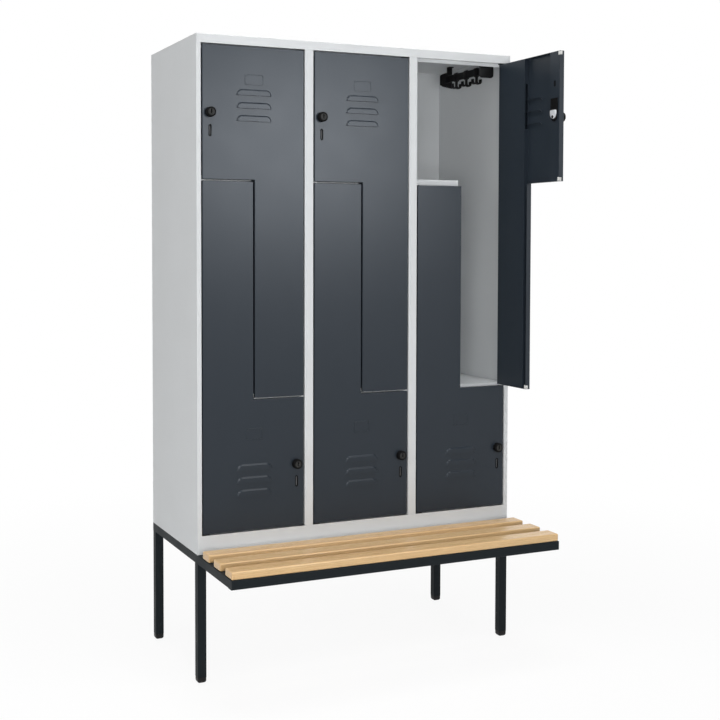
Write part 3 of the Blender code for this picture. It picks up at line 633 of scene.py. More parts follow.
@dataclass(frozen=True)
class PowderCoat(Finish):
    """Baked powder on sheet steel: a faint orange peel, and edges painted paler, partly as a painted
    highlight and partly where the powder lies thinner.
    """

    colour: Triple
    edge: Triple
    gloss: Span
    specular: float
    cloud: float = 0.03
    peel: float = 0.0016
    depth: float = 0.00004
    # How far from an edge the painted edge highlight and the wear reach.
    sheen_and_wear_reach: float = 0.0007

    def make(self) -> bpy.types.Material:
        """Builds the material."""
        g = Surface(self.name)
        place = g.place()
        dull, full = scaled(self.colour, 1 - self.cloud), scaled(self.colour, 1 + self.cloud)
        tone = g.blend(g.ranged(g.noise(place, 5.0)), dull, full)
        speck = g.ranged(g.noise(place, 1400.0, 1.0), (0.62, 0.8), (0.0, 0.18))
        tone = g.blend(speck, tone, self.edge)
        # Paler edges in patches: a painted edge highlight, mixed with wear.
        sheen_and_wear_patches = g.ranged(g.noise(place, 120.0), (0.35, 0.7), (0.25, 0.8))
        rim = g.combine("MULTIPLY", g.edges(self.sheen_and_wear_reach), sheen_and_wear_patches)
        return g.finished(
            Base_Color=g.blend(rim, tone, self.edge),
            Roughness=g.ranged(g.noise(place, 9.0, 4.0), target=self.gloss),
            Normal=g.bump(g.noise(place, 1.0 / self.peel, 2.0), self.depth, 0.5),
            Specular_IOR_Level=self.specular,
        )


@dataclass(frozen=True)
class MouldedPlastic(Finish):
    """Injection-moulded plastic with a fine grain, and paler edges that are partly a painted highlight and
    partly wear.
    """

    colour: Triple
    edge: Triple
    gloss: Span = (0.42, 0.52)
    specular: float = 0.2
    grain: float = 0.0006
    depth: float = 0.00003
    mottle: float = 1.35
    # How far from an edge the painted edge highlight and the wear reach.
    sheen_and_wear_reach: float = 0.0008

    def make(self) -> bpy.types.Material:
        """Builds the material."""
        g = Surface(self.name)
        place = g.place()
        cloud = g.ranged(g.noise(place, 60.0), target=(0.0, 0.5))
        # Paler edges in patches: a painted edge highlight, mixed with wear.
        sheen_and_wear_patches = g.ranged(g.noise(place, 200.0), (0.4, 0.7), (0.2, 0.9))
        rim = g.combine("MULTIPLY", g.edges(self.sheen_and_wear_reach), sheen_and_wear_patches)
        tone = g.blend(cloud, self.colour, scaled(self.colour, self.mottle))
        return g.finished(
            Base_Color=g.blend(rim, tone, self.edge),
            Roughness=g.ranged(g.noise(place, 80.0), target=self.gloss),
            Normal=g.bump(g.noise(place, 1.0 / self.grain, 1.0), self.depth, 0.6),
            Specular_IOR_Level=self.specular,
        )


@dataclass(frozen=True)
class ZincPlate(Finish):
    """Bright zinc plating with rolled lines and a faint bluish bloom."""

    colour: Triple = (0.80, 0.81, 0.82)
    bloom: Triple = (0.73, 0.75, 0.78)
    gloss: Span = (0.28, 0.46)
    metal: float = 0.35
    depth: float = 0.00002

    def make(self) -> bpy.types.Material:
        """Builds the material."""
        g = Surface(self.name)
        lines = g.noise(g.place((60.0, 60.0, 1500.0)), 1.0)
        cloud = g.ranged(g.noise(g.place(), 90.0, 4.0))
        return g.finished(
            Base_Color=g.blend(cloud, self.colour, self.bloom),
            Metallic=self.metal,
            Roughness=g.ranged(lines, target=self.gloss),
            Normal=g.bump(lines, self.depth, 0.5),
        )


@dataclass(frozen=True)
class Beech(Finish):
    """A lacquered beech slat: growth rings along it, fine flecks, arcs on its ends, and edges lightened as a
    painted highlight with some wear.
    """

    pith: Point
    shift: float
    tone: float
    early: Triple = (0.690, 0.480, 0.242)
    late: Triple = (0.560, 0.350, 0.160)
    warm: Triple = (0.640, 0.400, 0.185)
    fleck: Triple = (0.330, 0.180, 0.080)
    gloss: Span = (0.24, 0.34)
    ring: float = 0.0042
    pore_depths: Point = (0.00006, 0.00005)
    # How far from an edge the painted edge highlight and the wear reach.
    sheen_and_wear_reach: float = 0.002
    wave_period: float = 0.314  # of a ring texture of scale 1, in metres

    def rings(self, g: Graph) -> Socket:
        """Makes the growth rings, drawn out along the slat round its pith.

        Args:
            g: Graph that the nodes go into.

        Returns:
            The rings, from 0 to 1.
        """
        wave = g.node("ShaderNodeTexWave", wave_type="RINGS", rings_direction="X", wave_profile="SAW")
        for name, number in (
            ("Scale", self.wave_period / self.ring), ("Distortion", 9.0), ("Detail", 3.0),
            ("Detail Scale", 0.55), ("Detail Roughness", 0.55),
        ):
            wave.inputs[name].default_value = number
        g.link(g.place((0.06, 1.0, 1.0), (self.shift, *self.pith)), wave.inputs["Vector"])
        return wave.outputs["Fac"]

    def make(self) -> bpy.types.Material:
        """Builds the material."""
        g = Surface(self.name)
        early, late, warm, fleck = (
            scaled(colour, self.tone) for colour in (self.early, self.late, self.warm, self.fleck)
        )
        shift = (self.shift, 0.0, 0.0)
        cloud = g.ranged(g.noise(g.place((1.6, 14.0, 14.0), shift), 1.0), (0.3, 0.75), (0.0, 0.75))
        fine = g.noise(g.place((14.0, 700.0, 700.0), shift), 1.0)
        flecks = g.noise(g.place((160.0, 1500.0, 1500.0), shift), 1.0, 1.0)
        tone = g.blend(cloud, early, warm)
        tone = g.blend(g.ranged(self.rings(g), (0.15, 1.0), (0.0, 0.62)), tone, late)
        tone = g.blend(g.ranged(fine, (0.35, 0.75), (0.0, 0.28)), tone, late)
        tone = g.blend(g.ranged(flecks, (0.60, 0.72), (0.0, 0.55)), tone, fleck)
        # Edges lighten towards the early colour: a painted edge highlight, mixed with wear.
        rim = g.combine("MULTIPLY", g.edges(self.sheen_and_wear_reach), g.ranged(fine, target=(0.05, 0.3)))
        grain = g.bump(fine, self.pore_depths[0], 0.35)
        return g.finished(
            Base_Color=g.blend(rim, tone, early),
            Roughness=g.ranged(fine, target=self.gloss),
            Normal=g.bump(flecks, self.pore_depths[1], 0.35, grain),
            Specular_IOR_Level=0.5,
        )


LIGHT_COAT = PowderCoat(
    "light_grey_powder", Slot.LIGHT_GREY, (0.640, 0.656, 0.664), (0.73, 0.75, 0.75), (0.42, 0.46),
    0.18, 0.008,
)
DOOR_COAT = PowderCoat(
    "anthracite_powder", Slot.ANTHRACITE, (0.0185, 0.0250, 0.0335), (0.045, 0.054, 0.066),
    (0.29, 0.31), 0.25, 0.01,
)
FRAME_COAT = PowderCoat(
    "black_grey_powder", Slot.BLACK_GREY, (0.0132, 0.0166, 0.0190), (0.030, 0.035, 0.040),
    (0.44, 0.54), 0.06,
)
BLACK_MOULDING = MouldedPlastic(
    "black_moulding", Slot.BLACK_PLASTIC, (0.0065, 0.0065, 0.0068), (0.03, 0.03, 0.031)
)
SOFT_BLACK = MouldedPlastic(
    "soft_black_moulding", Slot.BLACK_PLASTIC, (0.022, 0.022, 0.021), (0.045, 0.045, 0.044), (0.50, 0.62)
)
COLLAR_BLACK = MouldedPlastic(
    "collar_black_moulding", Slot.BLACK_PLASTIC, (0.0050, 0.0050, 0.0052), (0.014, 0.014, 0.0145),
    (0.50, 0.60), 0.05,
)
# A near-black finish for the keyway's floor: painted shade, not a part's own colour.
KEYWAY_SHADE = MouldedPlastic(
    "painted_keyway_shade", Slot.BLACK_PLASTIC, (0.0015, 0.0015, 0.0015), (0.003, 0.003, 0.003),
    (0.60, 0.70), 0.02,
)
SLIP_GREY = MouldedPlastic(
    "slip_grey_moulding", Slot.BLACK_PLASTIC, (0.095, 0.098, 0.102), (0.12, 0.12, 0.12), (0.45, 0.55)
)
PALE_BUFFER = MouldedPlastic(
    "pale_buffer", Slot.BLACK_PLASTIC, (0.58, 0.58, 0.56), (0.70, 0.70, 0.68), (0.45, 0.6)
)
ZINC = ZincPlate("zinc_plate", Slot.ZINC)


# The object's own sizes


@dataclass(frozen=True)
class BodySizes:
    """Sizes that the doors, rails and bench share."""

    columns: int = 3
    pitch: float = 0.400
    width: float = 1.200
    depth: float = 0.500
    height: float = 1.700
    sheet: float = 0.001
    stile: float = 0.0157
    door_gap: float = 0.004
    leaf_gap: float = 0.005
    door_wide: float = 0.4365
    lock_inset: float = 0.0268
    top_rail: float = 0.029
    bottom_rail: float = 0.062
    seat: float = 0.0003
    pin_inset: float = 0.007
    pin_depth: float = 0.0089971
    bench_height: float = 0.427
    bench_reach: float = 0.315
    tube: float = 0.030

    @property
    def opening(self) -> Span:
        """Bottom and top of the door openings."""
        return self.bottom_rail, self.height - self.top_rail

    @property
    def door_width(self) -> float:
        """Width of a door's wide part."""
        return self.pitch - 2 * (self.stile + self.door_gap)

    @property
    def door_height(self) -> float:
        """Height of a whole door."""
        low, high = self.opening
        return high - low - 2 * self.door_gap - self.leaf_gap - self.door_wide

    def datum(self) -> Vector:
        """Returns the body's front left corner on the bench frame, in the row's frame."""
        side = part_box("side_panel_left")[0]
        return Vector((side.x, side.y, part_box("bench_frame")[1].z))


BODY = BodySizes()
DATUM = BODY.datum()


class Workshop:
    """Puts finished meshes in the scene as pieces that ride on the frame's bodies."""

    def __init__(self) -> None:
        """Starts with no piece made."""
        self.made: list[bpy.types.Object] = []

    def place(self, name: str, mesh: Mesh, finish: Finish, body: str,
              spot: Triple | Vector = (0.0, 0.0, 0.0), turn: float = 0.0,
              replaces: Iterable[str] = ()) -> bpy.types.Object:
        """Puts a mesh in the scene as one piece.

        Args:
            name: The piece's name.
            mesh: Its mesh, which pieces may share.
            finish: Its finish.
            body: The body that it rides on.
            spot: Its place, measured from the body's front left corner.
            turn: Its turn about Z, in degrees.
            replaces: Nodes that it stands for.

        Returns:
            The piece's object.
        """
        if not mesh.materials:
            mesh.materials.append(finish.material())
        piece = bpy.data.objects.new(name, mesh)
        bpy.context.scene.collection.objects.link(piece)
        piece.location = DATUM + Vector(spot)
        piece.rotation_euler.z = math.radians(turn)
        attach(piece, body)
        if replaces:
            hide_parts(*replaces)
        self.made.append(piece)
        LOG.info("%s rides on %s", name, body)
        return piece


def faired(piece: bpy.types.Object) -> None:
    """Shades the piece's large faces flat up to their rounded edges."""
    even = piece.modifiers.new("even_faces", "WEIGHTED_NORMAL")
    even.keep_sharp = True
    even.weight = 80


# Doors


@dataclass(frozen=True)
class LeafPlan:
    """What sets an upper door apart from a lower one.

    hinge is 1 where the pins are on the right and -1 where they are on the left. The label
    field is given from the column's left side and the body's bottom.
    """

    level: str
    hinge: int
    bottom: float
    lock_from_end: float
    louvres_from_end: float
    label_x: Span
    label_z: Span

    def x(self, from_hinge_edge: float) -> float:
        """Returns a place across the door."""
        return self.hinge * (BODY.pin_inset - from_hinge_edge)

    def z(self, from_narrow_end: float) -> float:
        """Returns a height on the door."""
        return from_narrow_end if self.hinge > 0 else BODY.door_height - from_narrow_end

    def column_x(self) -> float:
        """Returns the pins' place in the column."""
        offset = BODY.stile + BODY.door_gap + BODY.pin_inset
        return BODY.pitch - offset if self.hinge > 0 else offset

    def lock(self, rise: float = 0.0) -> Point:
        """Returns the lock's centre, or a point above it."""
        z = self.z(BODY.door_height - self.lock_from_end)
        return self.x(BODY.door_width - BODY.lock_inset), z + rise


UPPER_BOTTOM = BODY.opening[1] - BODY.door_gap - BODY.door_height
UPPER = LeafPlan("upper", 1, UPPER_BOTTOM, 0.219, 0.1393, (0.168, 0.233), (1.542, 1.576))
LOWER = LeafPlan(
    "lower", -1, BODY.bottom_rail + BODY.door_gap, 0.211, 0.2225, (0.171, 0.229), (0.369, 0.407)
)
OPEN_LEAF = ("upper", 3)
AHEAD = 0.02  # how far before the pins or the lock's seat some tools start


@dataclass
class DoorLeaf:
    """One folded and pressed door, the same for its three columns.

    Depths of its trim are measured from its face, rear_shutter_depth from its rear face, and
    buffer_depth from both. slot, rear_slot and rim are widths and heights.
    """

    plan: LeafPlan
    sheet: float = 0.001
    thickness: float = 0.0186
    edge: float = 0.002
    edge_steps: int = 5
    hinge_box: float = 0.159
    channel: float = 0.0523
    access_height: float = 0.159
    access_depth: float = 0.010
    access_from_end: float = 0.086
    louvres: int = 3
    louvre_width: float = 0.124
    louvre_height: float = 0.0198
    louvre_pitch: float = 0.0424
    louvre_depth: float = 0.0045
    louvre_slope: float = 0.005
    louvre_corner: float = 0.0192
    louvre_rings: int = 8
    louvre_ease: float = 0.2
    mouth: float = 0.0006
    bore: float = 0.0095
    slot: Point = (0.0085, 0.036)
    slot_drop: float = 0.0588
    rear_slot: Point = (0.012, 0.022)
    rear_slot_rise: float = 0.112
    cut_over: float = 0.005
    tab: Point = (0.0058, 0.0024)
    tab_inset: Point = (0.0052, 0.0034)
    tab_sunk: float = 0.0008
    pin_radius: float = 0.003
    pin_root: float = 0.003
    pin_length: float = 0.009
    pin_clear: float = 0.0010
    pin_edge: float = 0.0005
    trim: Span = (-0.0009, -0.0001)
    trim_edge: float = 0.0003
    label_corners: Point = (0.002, 0.001)
    label_lip: float = 0.0016
    label_floor: float = 0.0003
    rim: Point = (0.0103, 0.0385)
    rim_hole: Point = (0.0053, 0.0320)
    shutter_size: Point = (0.018, 0.048)
    shutter_depth: Span = (0.0038, 0.0052)
    rear_shutter_size: Point = (0.018, 0.028)
    rear_shutter_depth: Span = (-0.0024, -0.0010)
    shutter_edge: float = 0.0004
    slip_size: Point = (0.0045, 0.0315)
    slip_depth: Span = (0.0016, 0.0040)
    slip_edge: float = 0.0006
    buffer_size: Point = (0.0085, 0.0150)
    buffer_proud: float = 0.0004
    buffer_depth: Span = (0.0062, 0.0014)
    buffer_edge: float = 0.0032

    @property
    def front(self) -> float:
        """Place of the door's face, forward of its pins."""
        return -BODY.pin_depth

    @property
    def back(self) -> float:
        """Place of the door's rear face."""
        return self.thickness - BODY.pin_depth

    @property
    def narrow(self) -> float:
        """Width of the leg along the hinge."""
        return (BODY.door_width - BODY.leaf_gap) / 2

    @property
    def step(self) -> float:
        """Height at which the narrow leg meets the wide part."""
        return BODY.door_height - BODY.door_wide

    def behind_face(self, span: Span) -> Span:
        """Returns the places of a span that is measured from the door's face."""
        return shifted(span, self.front)

    def outline(self, inset: float) -> list[Point]:
        """Returns the door's Z outline, moved inwards."""
        a, b, c = inset, self.narrow - inset, BODY.door_width - inset
        low, high, step = inset, BODY.door_height - inset, self.step + inset
        corners = ((a, low), (b, low), (b, step), (c, step), (c, high), (a, high))
        return [(self.plan.x(u), self.plan.z(w)) for u, w in corners]

    def tray(self) -> Solids:
        """Returns the door's outer body, its front rim rounded."""
        rim = quarter_round(self.edge, self.edge_steps)[::-1]
        layers = [(self.front + y, self.outline(inset)) for y, inset in rim]
        return Solids().stack(Along.Y, [*layers, (self.back, self.outline(0.0))])

    def span(self, u: Span, w: Span) -> tuple[Span, Span]:
        """Returns spans across and up the door from the hinge edge and the narrow end."""
        return between(*map(self.plan.x, u)), between(*map(self.plan.z, w))

    def hollows(self) -> Solids:
        """Returns the open pocket, the hinge box's inside and the lock channel's inside."""
        t = self.sheet
        top = BODY.door_height - t
        inner = BODY.door_width - self.channel
        pocket = (
            (self.hinge_box, t), (self.narrow - t, t), (self.narrow - t, self.step + t),
            (inner, self.step + t), (inner, top), (self.hinge_box, top),
        )
        outline = [(self.plan.x(u), self.plan.z(w)) for u, w in pocket]
        made = Solids().prism(outline, Along.Y, (self.front + t, self.back + self.cut_over))
        for u, low in (((t, self.hinge_box - t), t), ((inner + t, BODY.door_width - t), self.step + t)):
            x, z = self.span(u, (low, top))
            made.box(x, (self.front + t, self.back - t), z)
        return made

    def hood_ring(self, index: int, inset: float, drop: float) -> list[Point]:
        """Makes a louvre's outline, flat below and round above.

        Args:
            index: Which louvre, from the top.
            inset: How far the outline stays inside the louvre's own.
            drop: How far it runs on below the louvre.

        Returns:
            Its points.
        """
        top = self.plan.z(BODY.door_height - self.plan.louvres_from_end) - index * self.louvre_pitch
        bottom = top - self.louvre_height - drop
        middle = self.plan.x(BODY.door_width / 2)
        half = self.louvre_width / 2 - inset
        corner = self.louvre_corner - inset
        top -= inset
        ring = [(middle - half, bottom), (middle + half, bottom)]
        ring += arc((middle + half - corner, top - corner), corner, 0.0, 90.0, 8)
        return ring + arc((middle - half + corner, top - corner), corner, 90.0, 180.0, 8)

    def hoods(self, skin: float, drop: float, root: float) -> Solids:
        """Makes the louvres' crowned forms.

        Args:
            skin: How far the forms stay inside the louvres' outer faces.
            drop: How far they run on below the louvres.
            root: How far behind the door's face they start.

        Returns:
            The forms as closed solids.
        """
        rings = [(self.front + root, skin)]
        for i in range(self.louvre_rings + 1):
            t = i / self.louvre_rings
            rise = (1.0 - self.louvre_ease) * t + self.louvre_ease * ease(t)
            rings.append((self.front + skin - self.louvre_depth * rise, skin + self.louvre_slope * t))
        made = Solids()
        for index in range(self.louvres):
            made.stack(Along.Y, [(y, self.hood_ring(index, inset, drop)) for y, inset in rings])
        return made

    def cuts(self) -> Solids:
        """Returns the lock bore, the view slot, the channel slot, the tab slits and the access hole."""
        made = Solids()
        ahead, behind = self.front - self.cut_over, self.back + self.cut_over
        for outline, span in (
            (circle(self.bore, centre=self.plan.lock()), (ahead, behind)),
            (upright_slot(self.plan.lock(-self.slot_drop), self.slot), (ahead, self.front + 2 * self.sheet)),
            (
                upright_slot(self.plan.lock(self.rear_slot_rise), self.rear_slot),
                (self.back - 2 * self.sheet, behind),
            ),
        ):
            made.prism(outline, Along.Y, span)
        from_end = BODY.door_height - self.access_from_end
        wall = (self.hinge_box - 2 * self.sheet, self.hinge_box + self.sheet)
        x, z = self.span(wall, (from_end - self.access_height, from_end))
        made.box(x, about((self.thickness + self.sheet) / 2 - BODY.pin_depth, self.access_depth), z)
        return made.take(self.tab_seats())

    def label_field(self) -> tuple[Span, Span]:
        """Returns the label field's spans on the door."""
        plan = self.plan
        return shifted(plan.label_x, -plan.column_x()), shifted(plan.label_z, -plan.bottom)

    def tab_seats(self) -> Solids:
        """Returns the four seats of the label plate's tabs, sunk into the door's sheet."""
        x, z = self.label_field()
        in_x, in_z = self.tab_inset
        depth = self.behind_face((-self.cut_over, self.tab_sunk))
        made = Solids()
        for a in (x[0] + in_x, x[1] - in_x):
            for b in (z[0] + in_z, z[1] - in_z):
                made.box(about(a, self.tab[0]), depth, about(b, self.tab[1]))
        return made

    def pins(self) -> Solids:
        """Returns the hinge pins at both ends of the door."""
        way = self.plan.hinge
        inner, outer = (0.0, -way, BODY.leaf_gap - self.pin_clear), (BODY.door_height, way, self.pin_length)
        made = Solids()
        for end, out, length in (inner, outer):
            edge = self.plan.z(end)
            span = between(edge - out * self.pin_root, edge + out * length)
            made.soft_prism(circle(self.pin_radius, 24), Along.Z, span, self.pin_edge, 2)
        return made

    def build(self) -> Mesh:
        """Returns the door's mesh."""
        hoods = self.hoods(0.0, 0.0, self.sheet / 2)
        cuts = self.cuts().take(self.hoods(self.sheet, self.mouth, 2 * self.sheet))
        return self.tray().smooth(
            f"leaf_{self.plan.level}", Crease.SHEET, (Carve.JOIN, hoods), (Carve.CUT, self.hollows()),
            (Carve.CUT, cuts), (Carve.JOIN, self.pins()),
        )

    def label_plate(self) -> Mesh:
        """Returns the plain label plate that lies on the door's face."""
        x, z = self.label_field()
        lip = self.label_lip
        outer, inner = self.label_corners
        plate = Solids().soft_prism(
            rounded(x, z, outer, 4), Along.Y, self.behind_face(self.trim), self.trim_edge
        )
        sunk = rounded((x[0] + lip, x[1] - lip), (z[0] + lip, z[1] - lip), inner, 4)
        recess = Solids().prism(sunk, Along.Y, (-AHEAD, self.front - self.label_floor))
        return plate.smooth(
            f"label_plate_{self.plan.level}", Crease.SMALL, (Carve.CUT, recess), (Carve.CUT, self.tab_seats())
        )

    def shutter(self) -> Mesh:
        """Returns the black plates behind the view slot and the slot in the lock channel."""
        made = Solids()
        rear = shifted(self.rear_shutter_depth, self.back)
        for rise, (width, height), depth in (
            (-self.slot_drop, self.shutter_size, self.behind_face(self.shutter_depth)),
            (self.rear_slot_rise, self.rear_shutter_size, rear),
        ):
            x, z = self.plan.lock(rise)
            made.soft_box(about(x, width), depth, about(z, height), self.shutter_edge)
        return made.flat("shutter")

    def view_rim(self) -> Mesh:
        """Returns the black rim that lines the view slot."""
        spot = self.plan.lock(-self.slot_drop)
        ring = Solids().soft_prism(
            upright_slot(spot, self.rim), Along.Y, self.behind_face(self.trim), self.trim_edge, 2
        )
        hole = Solids().prism(
            upright_slot(spot, self.rim_hole), Along.Y, about(self.front, 2 * self.cut_over)
        )
        return ring.smooth("view_rim", Crease.SMALL, (Carve.CUT, hole))

    def slip(self) -> Mesh:
        """Returns the narrow grey slip on the shutter."""
        outline = upright_slot(self.plan.lock(-self.slot_drop), self.slip_size)
        made = Solids().soft_prism(outline, Along.Y, self.behind_face(self.slip_depth), self.slip_edge)
        return made.smooth("slip", Crease.SMALL)

    def buffers(self) -> Mesh:
        """Returns the three pale buffers in the door's free corners."""
        proud, (reach, height) = self.buffer_proud, self.buffer_size
        y = (self.front + self.buffer_depth[0], self.back + self.buffer_depth[1])
        made = Solids()
        for u, w, inward in (
            (BODY.door_width, BODY.door_height, -1.0), (BODY.door_width, self.step, 1.0),
            (self.narrow, 0.0, 1.0),
        ):
            x, z = self.span((u + proud, u - reach), (w - inward * proud, w + inward * height))
            made.soft_box(x, y, z, self.buffer_edge, 4)
        return made.smooth(f"corner_buffers_{self.plan.level}", Crease.SMALL)


@dataclass
class CamLock:
    """A cam lock: a round collar with its box behind the door, and a turning plug with a cam.

    The depths of the core and the key are measured from the disc's face, those of the washer
    and the cam's nut from the cam's rear face. key_widths are the half widths of the keyway's
    slot and ward, and key_heights run from its low end to its top.
    """

    collar: float = 0.0165
    height: float = 0.017
    chamfer: float = 0.0032
    barrel: float = 0.009
    plug: float = 0.006
    clearance: float = 0.0004
    disc: float = 0.011
    disc_depth: float = 0.0014
    core: float = 0.0068
    core_depth: Span = (-0.0002, 0.0008)
    groove: float = 0.0075
    groove_depth: float = 0.0004
    key_widths: Point = (0.0021, 0.0033)
    key_heights: tuple[float, ...] = (-0.0058, -0.0002, 0.0036, 0.0094)
    key_depth: Span = (-0.004, 0.0012)
    key_floor: Span = (0.0008, 0.00115)
    key_clear: float = 0.0001
    lip: float = 0.0004
    nut: float = 0.0155
    edge: float = 0.0005
    soft: float = 0.0004
    fine: float = 0.00015
    waist: Span = (0.0014, 0.0030)
    door: float = 0.0186
    box_depth: float = 0.0035
    box_rise: float = 0.013
    box_height: float = 0.050
    box_width: float = 0.0376
    box_edge: float = 0.0009
    screw: float = 0.0024
    screw_inset: float = 0.006
    screw_depth: Span = (-0.0012, 0.002)
    cam_width: float = 0.034
    cam_length: float = 0.0228
    cam_heel: float = 0.006
    cam_corner: float = 0.004
    cam_depth: float = 0.002
    cam_front: float = 0.0235
    washer: float = 0.0062
    washer_edge: float = 0.0002
    washer_depth: Span = (-0.0003, 0.0008)
    cam_nut: float = 0.0055
    cam_nut_depth: Span = (0.0007, 0.0030)

    @property
    def front(self) -> float:
        """Place of the disc's face."""
        return -(self.height - self.clearance / 2)

    def housing(self) -> Mesh:
        """Returns the collar, barrel, nut and lock box."""
        rear = -self.door - BODY.seat
        back = rear - self.box_depth
        recess = self.disc + self.clearance
        bore = self.plug + self.clearance
        shelf = self.height - self.disc_depth - self.clearance
        lip, e = self.lip, self.edge
        waist_low, waist_high = self.waist
        profile = [(recess, shelf), (recess, self.height - lip), (recess + lip, self.height)]
        profile += arc(
            (self.collar - self.chamfer, self.height - self.chamfer), self.chamfer, 90.0, 0.0, 5
        )
        profile += [
            (self.collar, waist_high), (self.collar - e, waist_high - e), (self.collar - e, waist_low + e),
            (self.collar, waist_low), (self.collar, BODY.seat), (self.barrel, BODY.seat),
            (self.barrel, rear), (self.nut - e, rear), (self.nut, rear - e), (self.nut, back + e),
            (self.nut - e, back), (bore, back), (bore, shelf),
        ]
        z = (self.box_rise, self.box_rise + self.box_height)
        box = Solids().soft_box(about(0.0, self.box_width), (-rear, -back), z, self.box_edge)
        screws = Solids()
        reach = self.box_width / 2 - self.screw_inset
        depth = shifted(self.screw_depth, -back)
        for x in (-reach, reach):
            seat = circle(self.screw, 20, (x, z[1] - self.screw_inset))
            screws.prism(seat, Along.Y, depth)
        steps = (Carve.JOIN, box), (Carve.CUT, screws)
        return Solids().turned(profile).smooth("lock_collar", Crease.TURNED, *steps)

    def keyway(self, inset: float = 0.0) -> list[Point]:
        """Makes the keyway's outline.

        Args:
            inset: How far its sides are moved inwards.

        Returns:
            Its points.
        """
        narrow, wide = (width - inset for width in self.key_widths)
        low, ward = (height + inset for height in self.key_heights[:2])
        rise, top = (height - inset for height in self.key_heights[2:])
        right = [(narrow, low), (narrow, ward), (wide, ward), (wide, rise), (narrow, rise), (narrow, top)]
        return right + [(-narrow, top), (-narrow, low)]

    def shade(self) -> Mesh:
        """Returns a near-black plate at the keyway's floor, painted shade that makes the shallow keyway read
        deep.
        """
        span = shifted(self.key_floor, self.front)
        return Solids().prism(self.keyway(self.key_clear), Along.Y, span).flat("keyway")

    def face(self) -> Mesh:
        """Returns the disc with its keyway."""
        disc = Solids().soft_prism(
            circle(self.disc, 48), Along.Y, (self.front, self.front + self.disc_depth), self.soft
        )
        core_span = shifted(self.core_depth, self.front)
        core = Solids().soft_prism(circle(self.core, 40), Along.Y, core_span, self.fine, 2)
        floor = -self.front - self.groove_depth
        groove = Solids().turned(
            ((self.core, AHEAD), (self.groove, AHEAD), (self.groove, floor), (self.core, floor))
        )
        key = Solids().prism(self.keyway(), Along.Y, shifted(self.key_depth, self.front))
        steps = (Carve.JOIN, core), (Carve.CUT, groove), (Carve.CUT, key)
        return disc.smooth("lock_disc", Crease.TURNED, *steps)

    def cam(self) -> Mesh:
        """Returns the shaft with its washer and the D-shaped cam behind the stop lip."""
        front, back = self.cam_front, self.cam_front + self.cam_depth
        shaft = Solids().prism(
            circle(self.plug), Along.Y,
            (self.front + self.disc_depth - self.edge, front + self.edge),
        )
        wide, top, corner = self.cam_width / 2, self.cam_length, self.cam_corner
        outline = arc((0.0, wide - self.cam_heel), wide, 180.0, 360.0, 24)
        outline += arc((wide - corner, top - corner), corner, 0.0, 90.0, 5)
        outline += arc((corner - wide, top - corner), corner, 90.0, 180.0, 5)
        plate = Solids().soft_prism(outline, Along.Y, (front, back), self.soft, 2)
        washer_span = shifted(self.washer_depth, back)
        washer = Solids().soft_prism(circle(self.washer), Along.Y, washer_span, self.washer_edge, 2)
        return shaft.smooth("lock_cam", Crease.SHEET, (Carve.JOIN, plate), (Carve.JOIN, washer))

    def end_nut(self) -> Mesh:
        """Returns the nut that holds the cam."""
        span = shifted(self.cam_nut_depth, self.cam_front + self.cam_depth)
        made = Solids().soft_prism(circle(self.cam_nut, 6), Along.Y, span, self.soft, 2)
        return made.smooth("cam_nut", Crease.SHEET)


@dataclass(frozen=True)
class Fitting:
    """One piece of each door, the same for several doors.

    node is the start of the name of the node that it replaces, and rider that of its body.
    """

    name: str
    mesh: Mesh
    finish: Finish
    node: str = ""
    rider: str = "leaf"


@dataclass
class Doors:
    """All six doors with their locks, label plates and buffers."""

    shop: Workshop
    plans: tuple[LeafPlan, LeafPlan] = (UPPER, LOWER)

    def build(self) -> None:
        """Builds and places every door."""
        lock = CamLock()
        locks = (
            Fitting("collar", lock.housing(), COLLAR_BLACK, "lock_housing"),
            Fitting("lock_disc", lock.face(), SOFT_BLACK, rider="plug"),
            Fitting("lock_cam", lock.cam(), ZINC, "lock_plug", "plug"),
            Fitting("cam_nut", lock.end_nut(), BLACK_MOULDING, rider="plug"),
            # The keyway's floor plate carries painted shade.
            Fitting("keyway", lock.shade(), KEYWAY_SHADE, rider="plug"),
        )
        for plan in self.plans:
            leaf = DoorLeaf(plan)
            parts = (
                Fitting("leaf", leaf.build(), DOOR_COAT, "door"),
                Fitting("label_plate", leaf.label_plate(), DOOR_COAT),
                Fitting("view_shutter", leaf.shutter(), COLLAR_BLACK),
                Fitting("view_slip", leaf.slip(), SLIP_GREY),
                Fitting("view_rim", leaf.view_rim(), COLLAR_BLACK),
                Fitting("corner_buffers", leaf.buffers(), PALE_BUFFER),
            )
            for column in range(BODY.columns):
                self.hang(plan, column, parts, locks)

    def hang(self, plan: LeafPlan, column: int, parts: Sequence[Fitting], locks: Sequence[Fitting]) -> None:
        """Places one door and what rides on it.

        Args:
            plan: Upper or lower door.
            column: Column, from 0.
            parts: Pieces measured from the door's pins.
            locks: Pieces measured from the lock's centre on the door's face.
        """
        tag = f"{plan.level}_{column + 1}"
        turn = 90.0 if (plan.level, column + 1) == OPEN_LEAF else 0.0
        pins = Vector((column * BODY.pitch + plan.column_x(), BODY.pin_depth, plan.bottom))
        x, z = plan.lock()
        centre = pins + Matrix.Rotation(math.radians(turn), 4, "Z") @ Vector((x, -BODY.pin_depth, z))
        for spot, fittings in ((pins, parts), (centre, locks)):
            for fitting in fittings:
                nodes = (f"{fitting.node}_{tag}",) if fitting.node else ()
                piece = self.shop.place(
                    f"{fitting.name}_{tag}", fitting.mesh, fitting.finish, f"{fitting.rider}_{tag}",
                    spot, turn, nodes,
                )
                if fitting.name == "leaf":
                    faired(piece)


# Coat rails


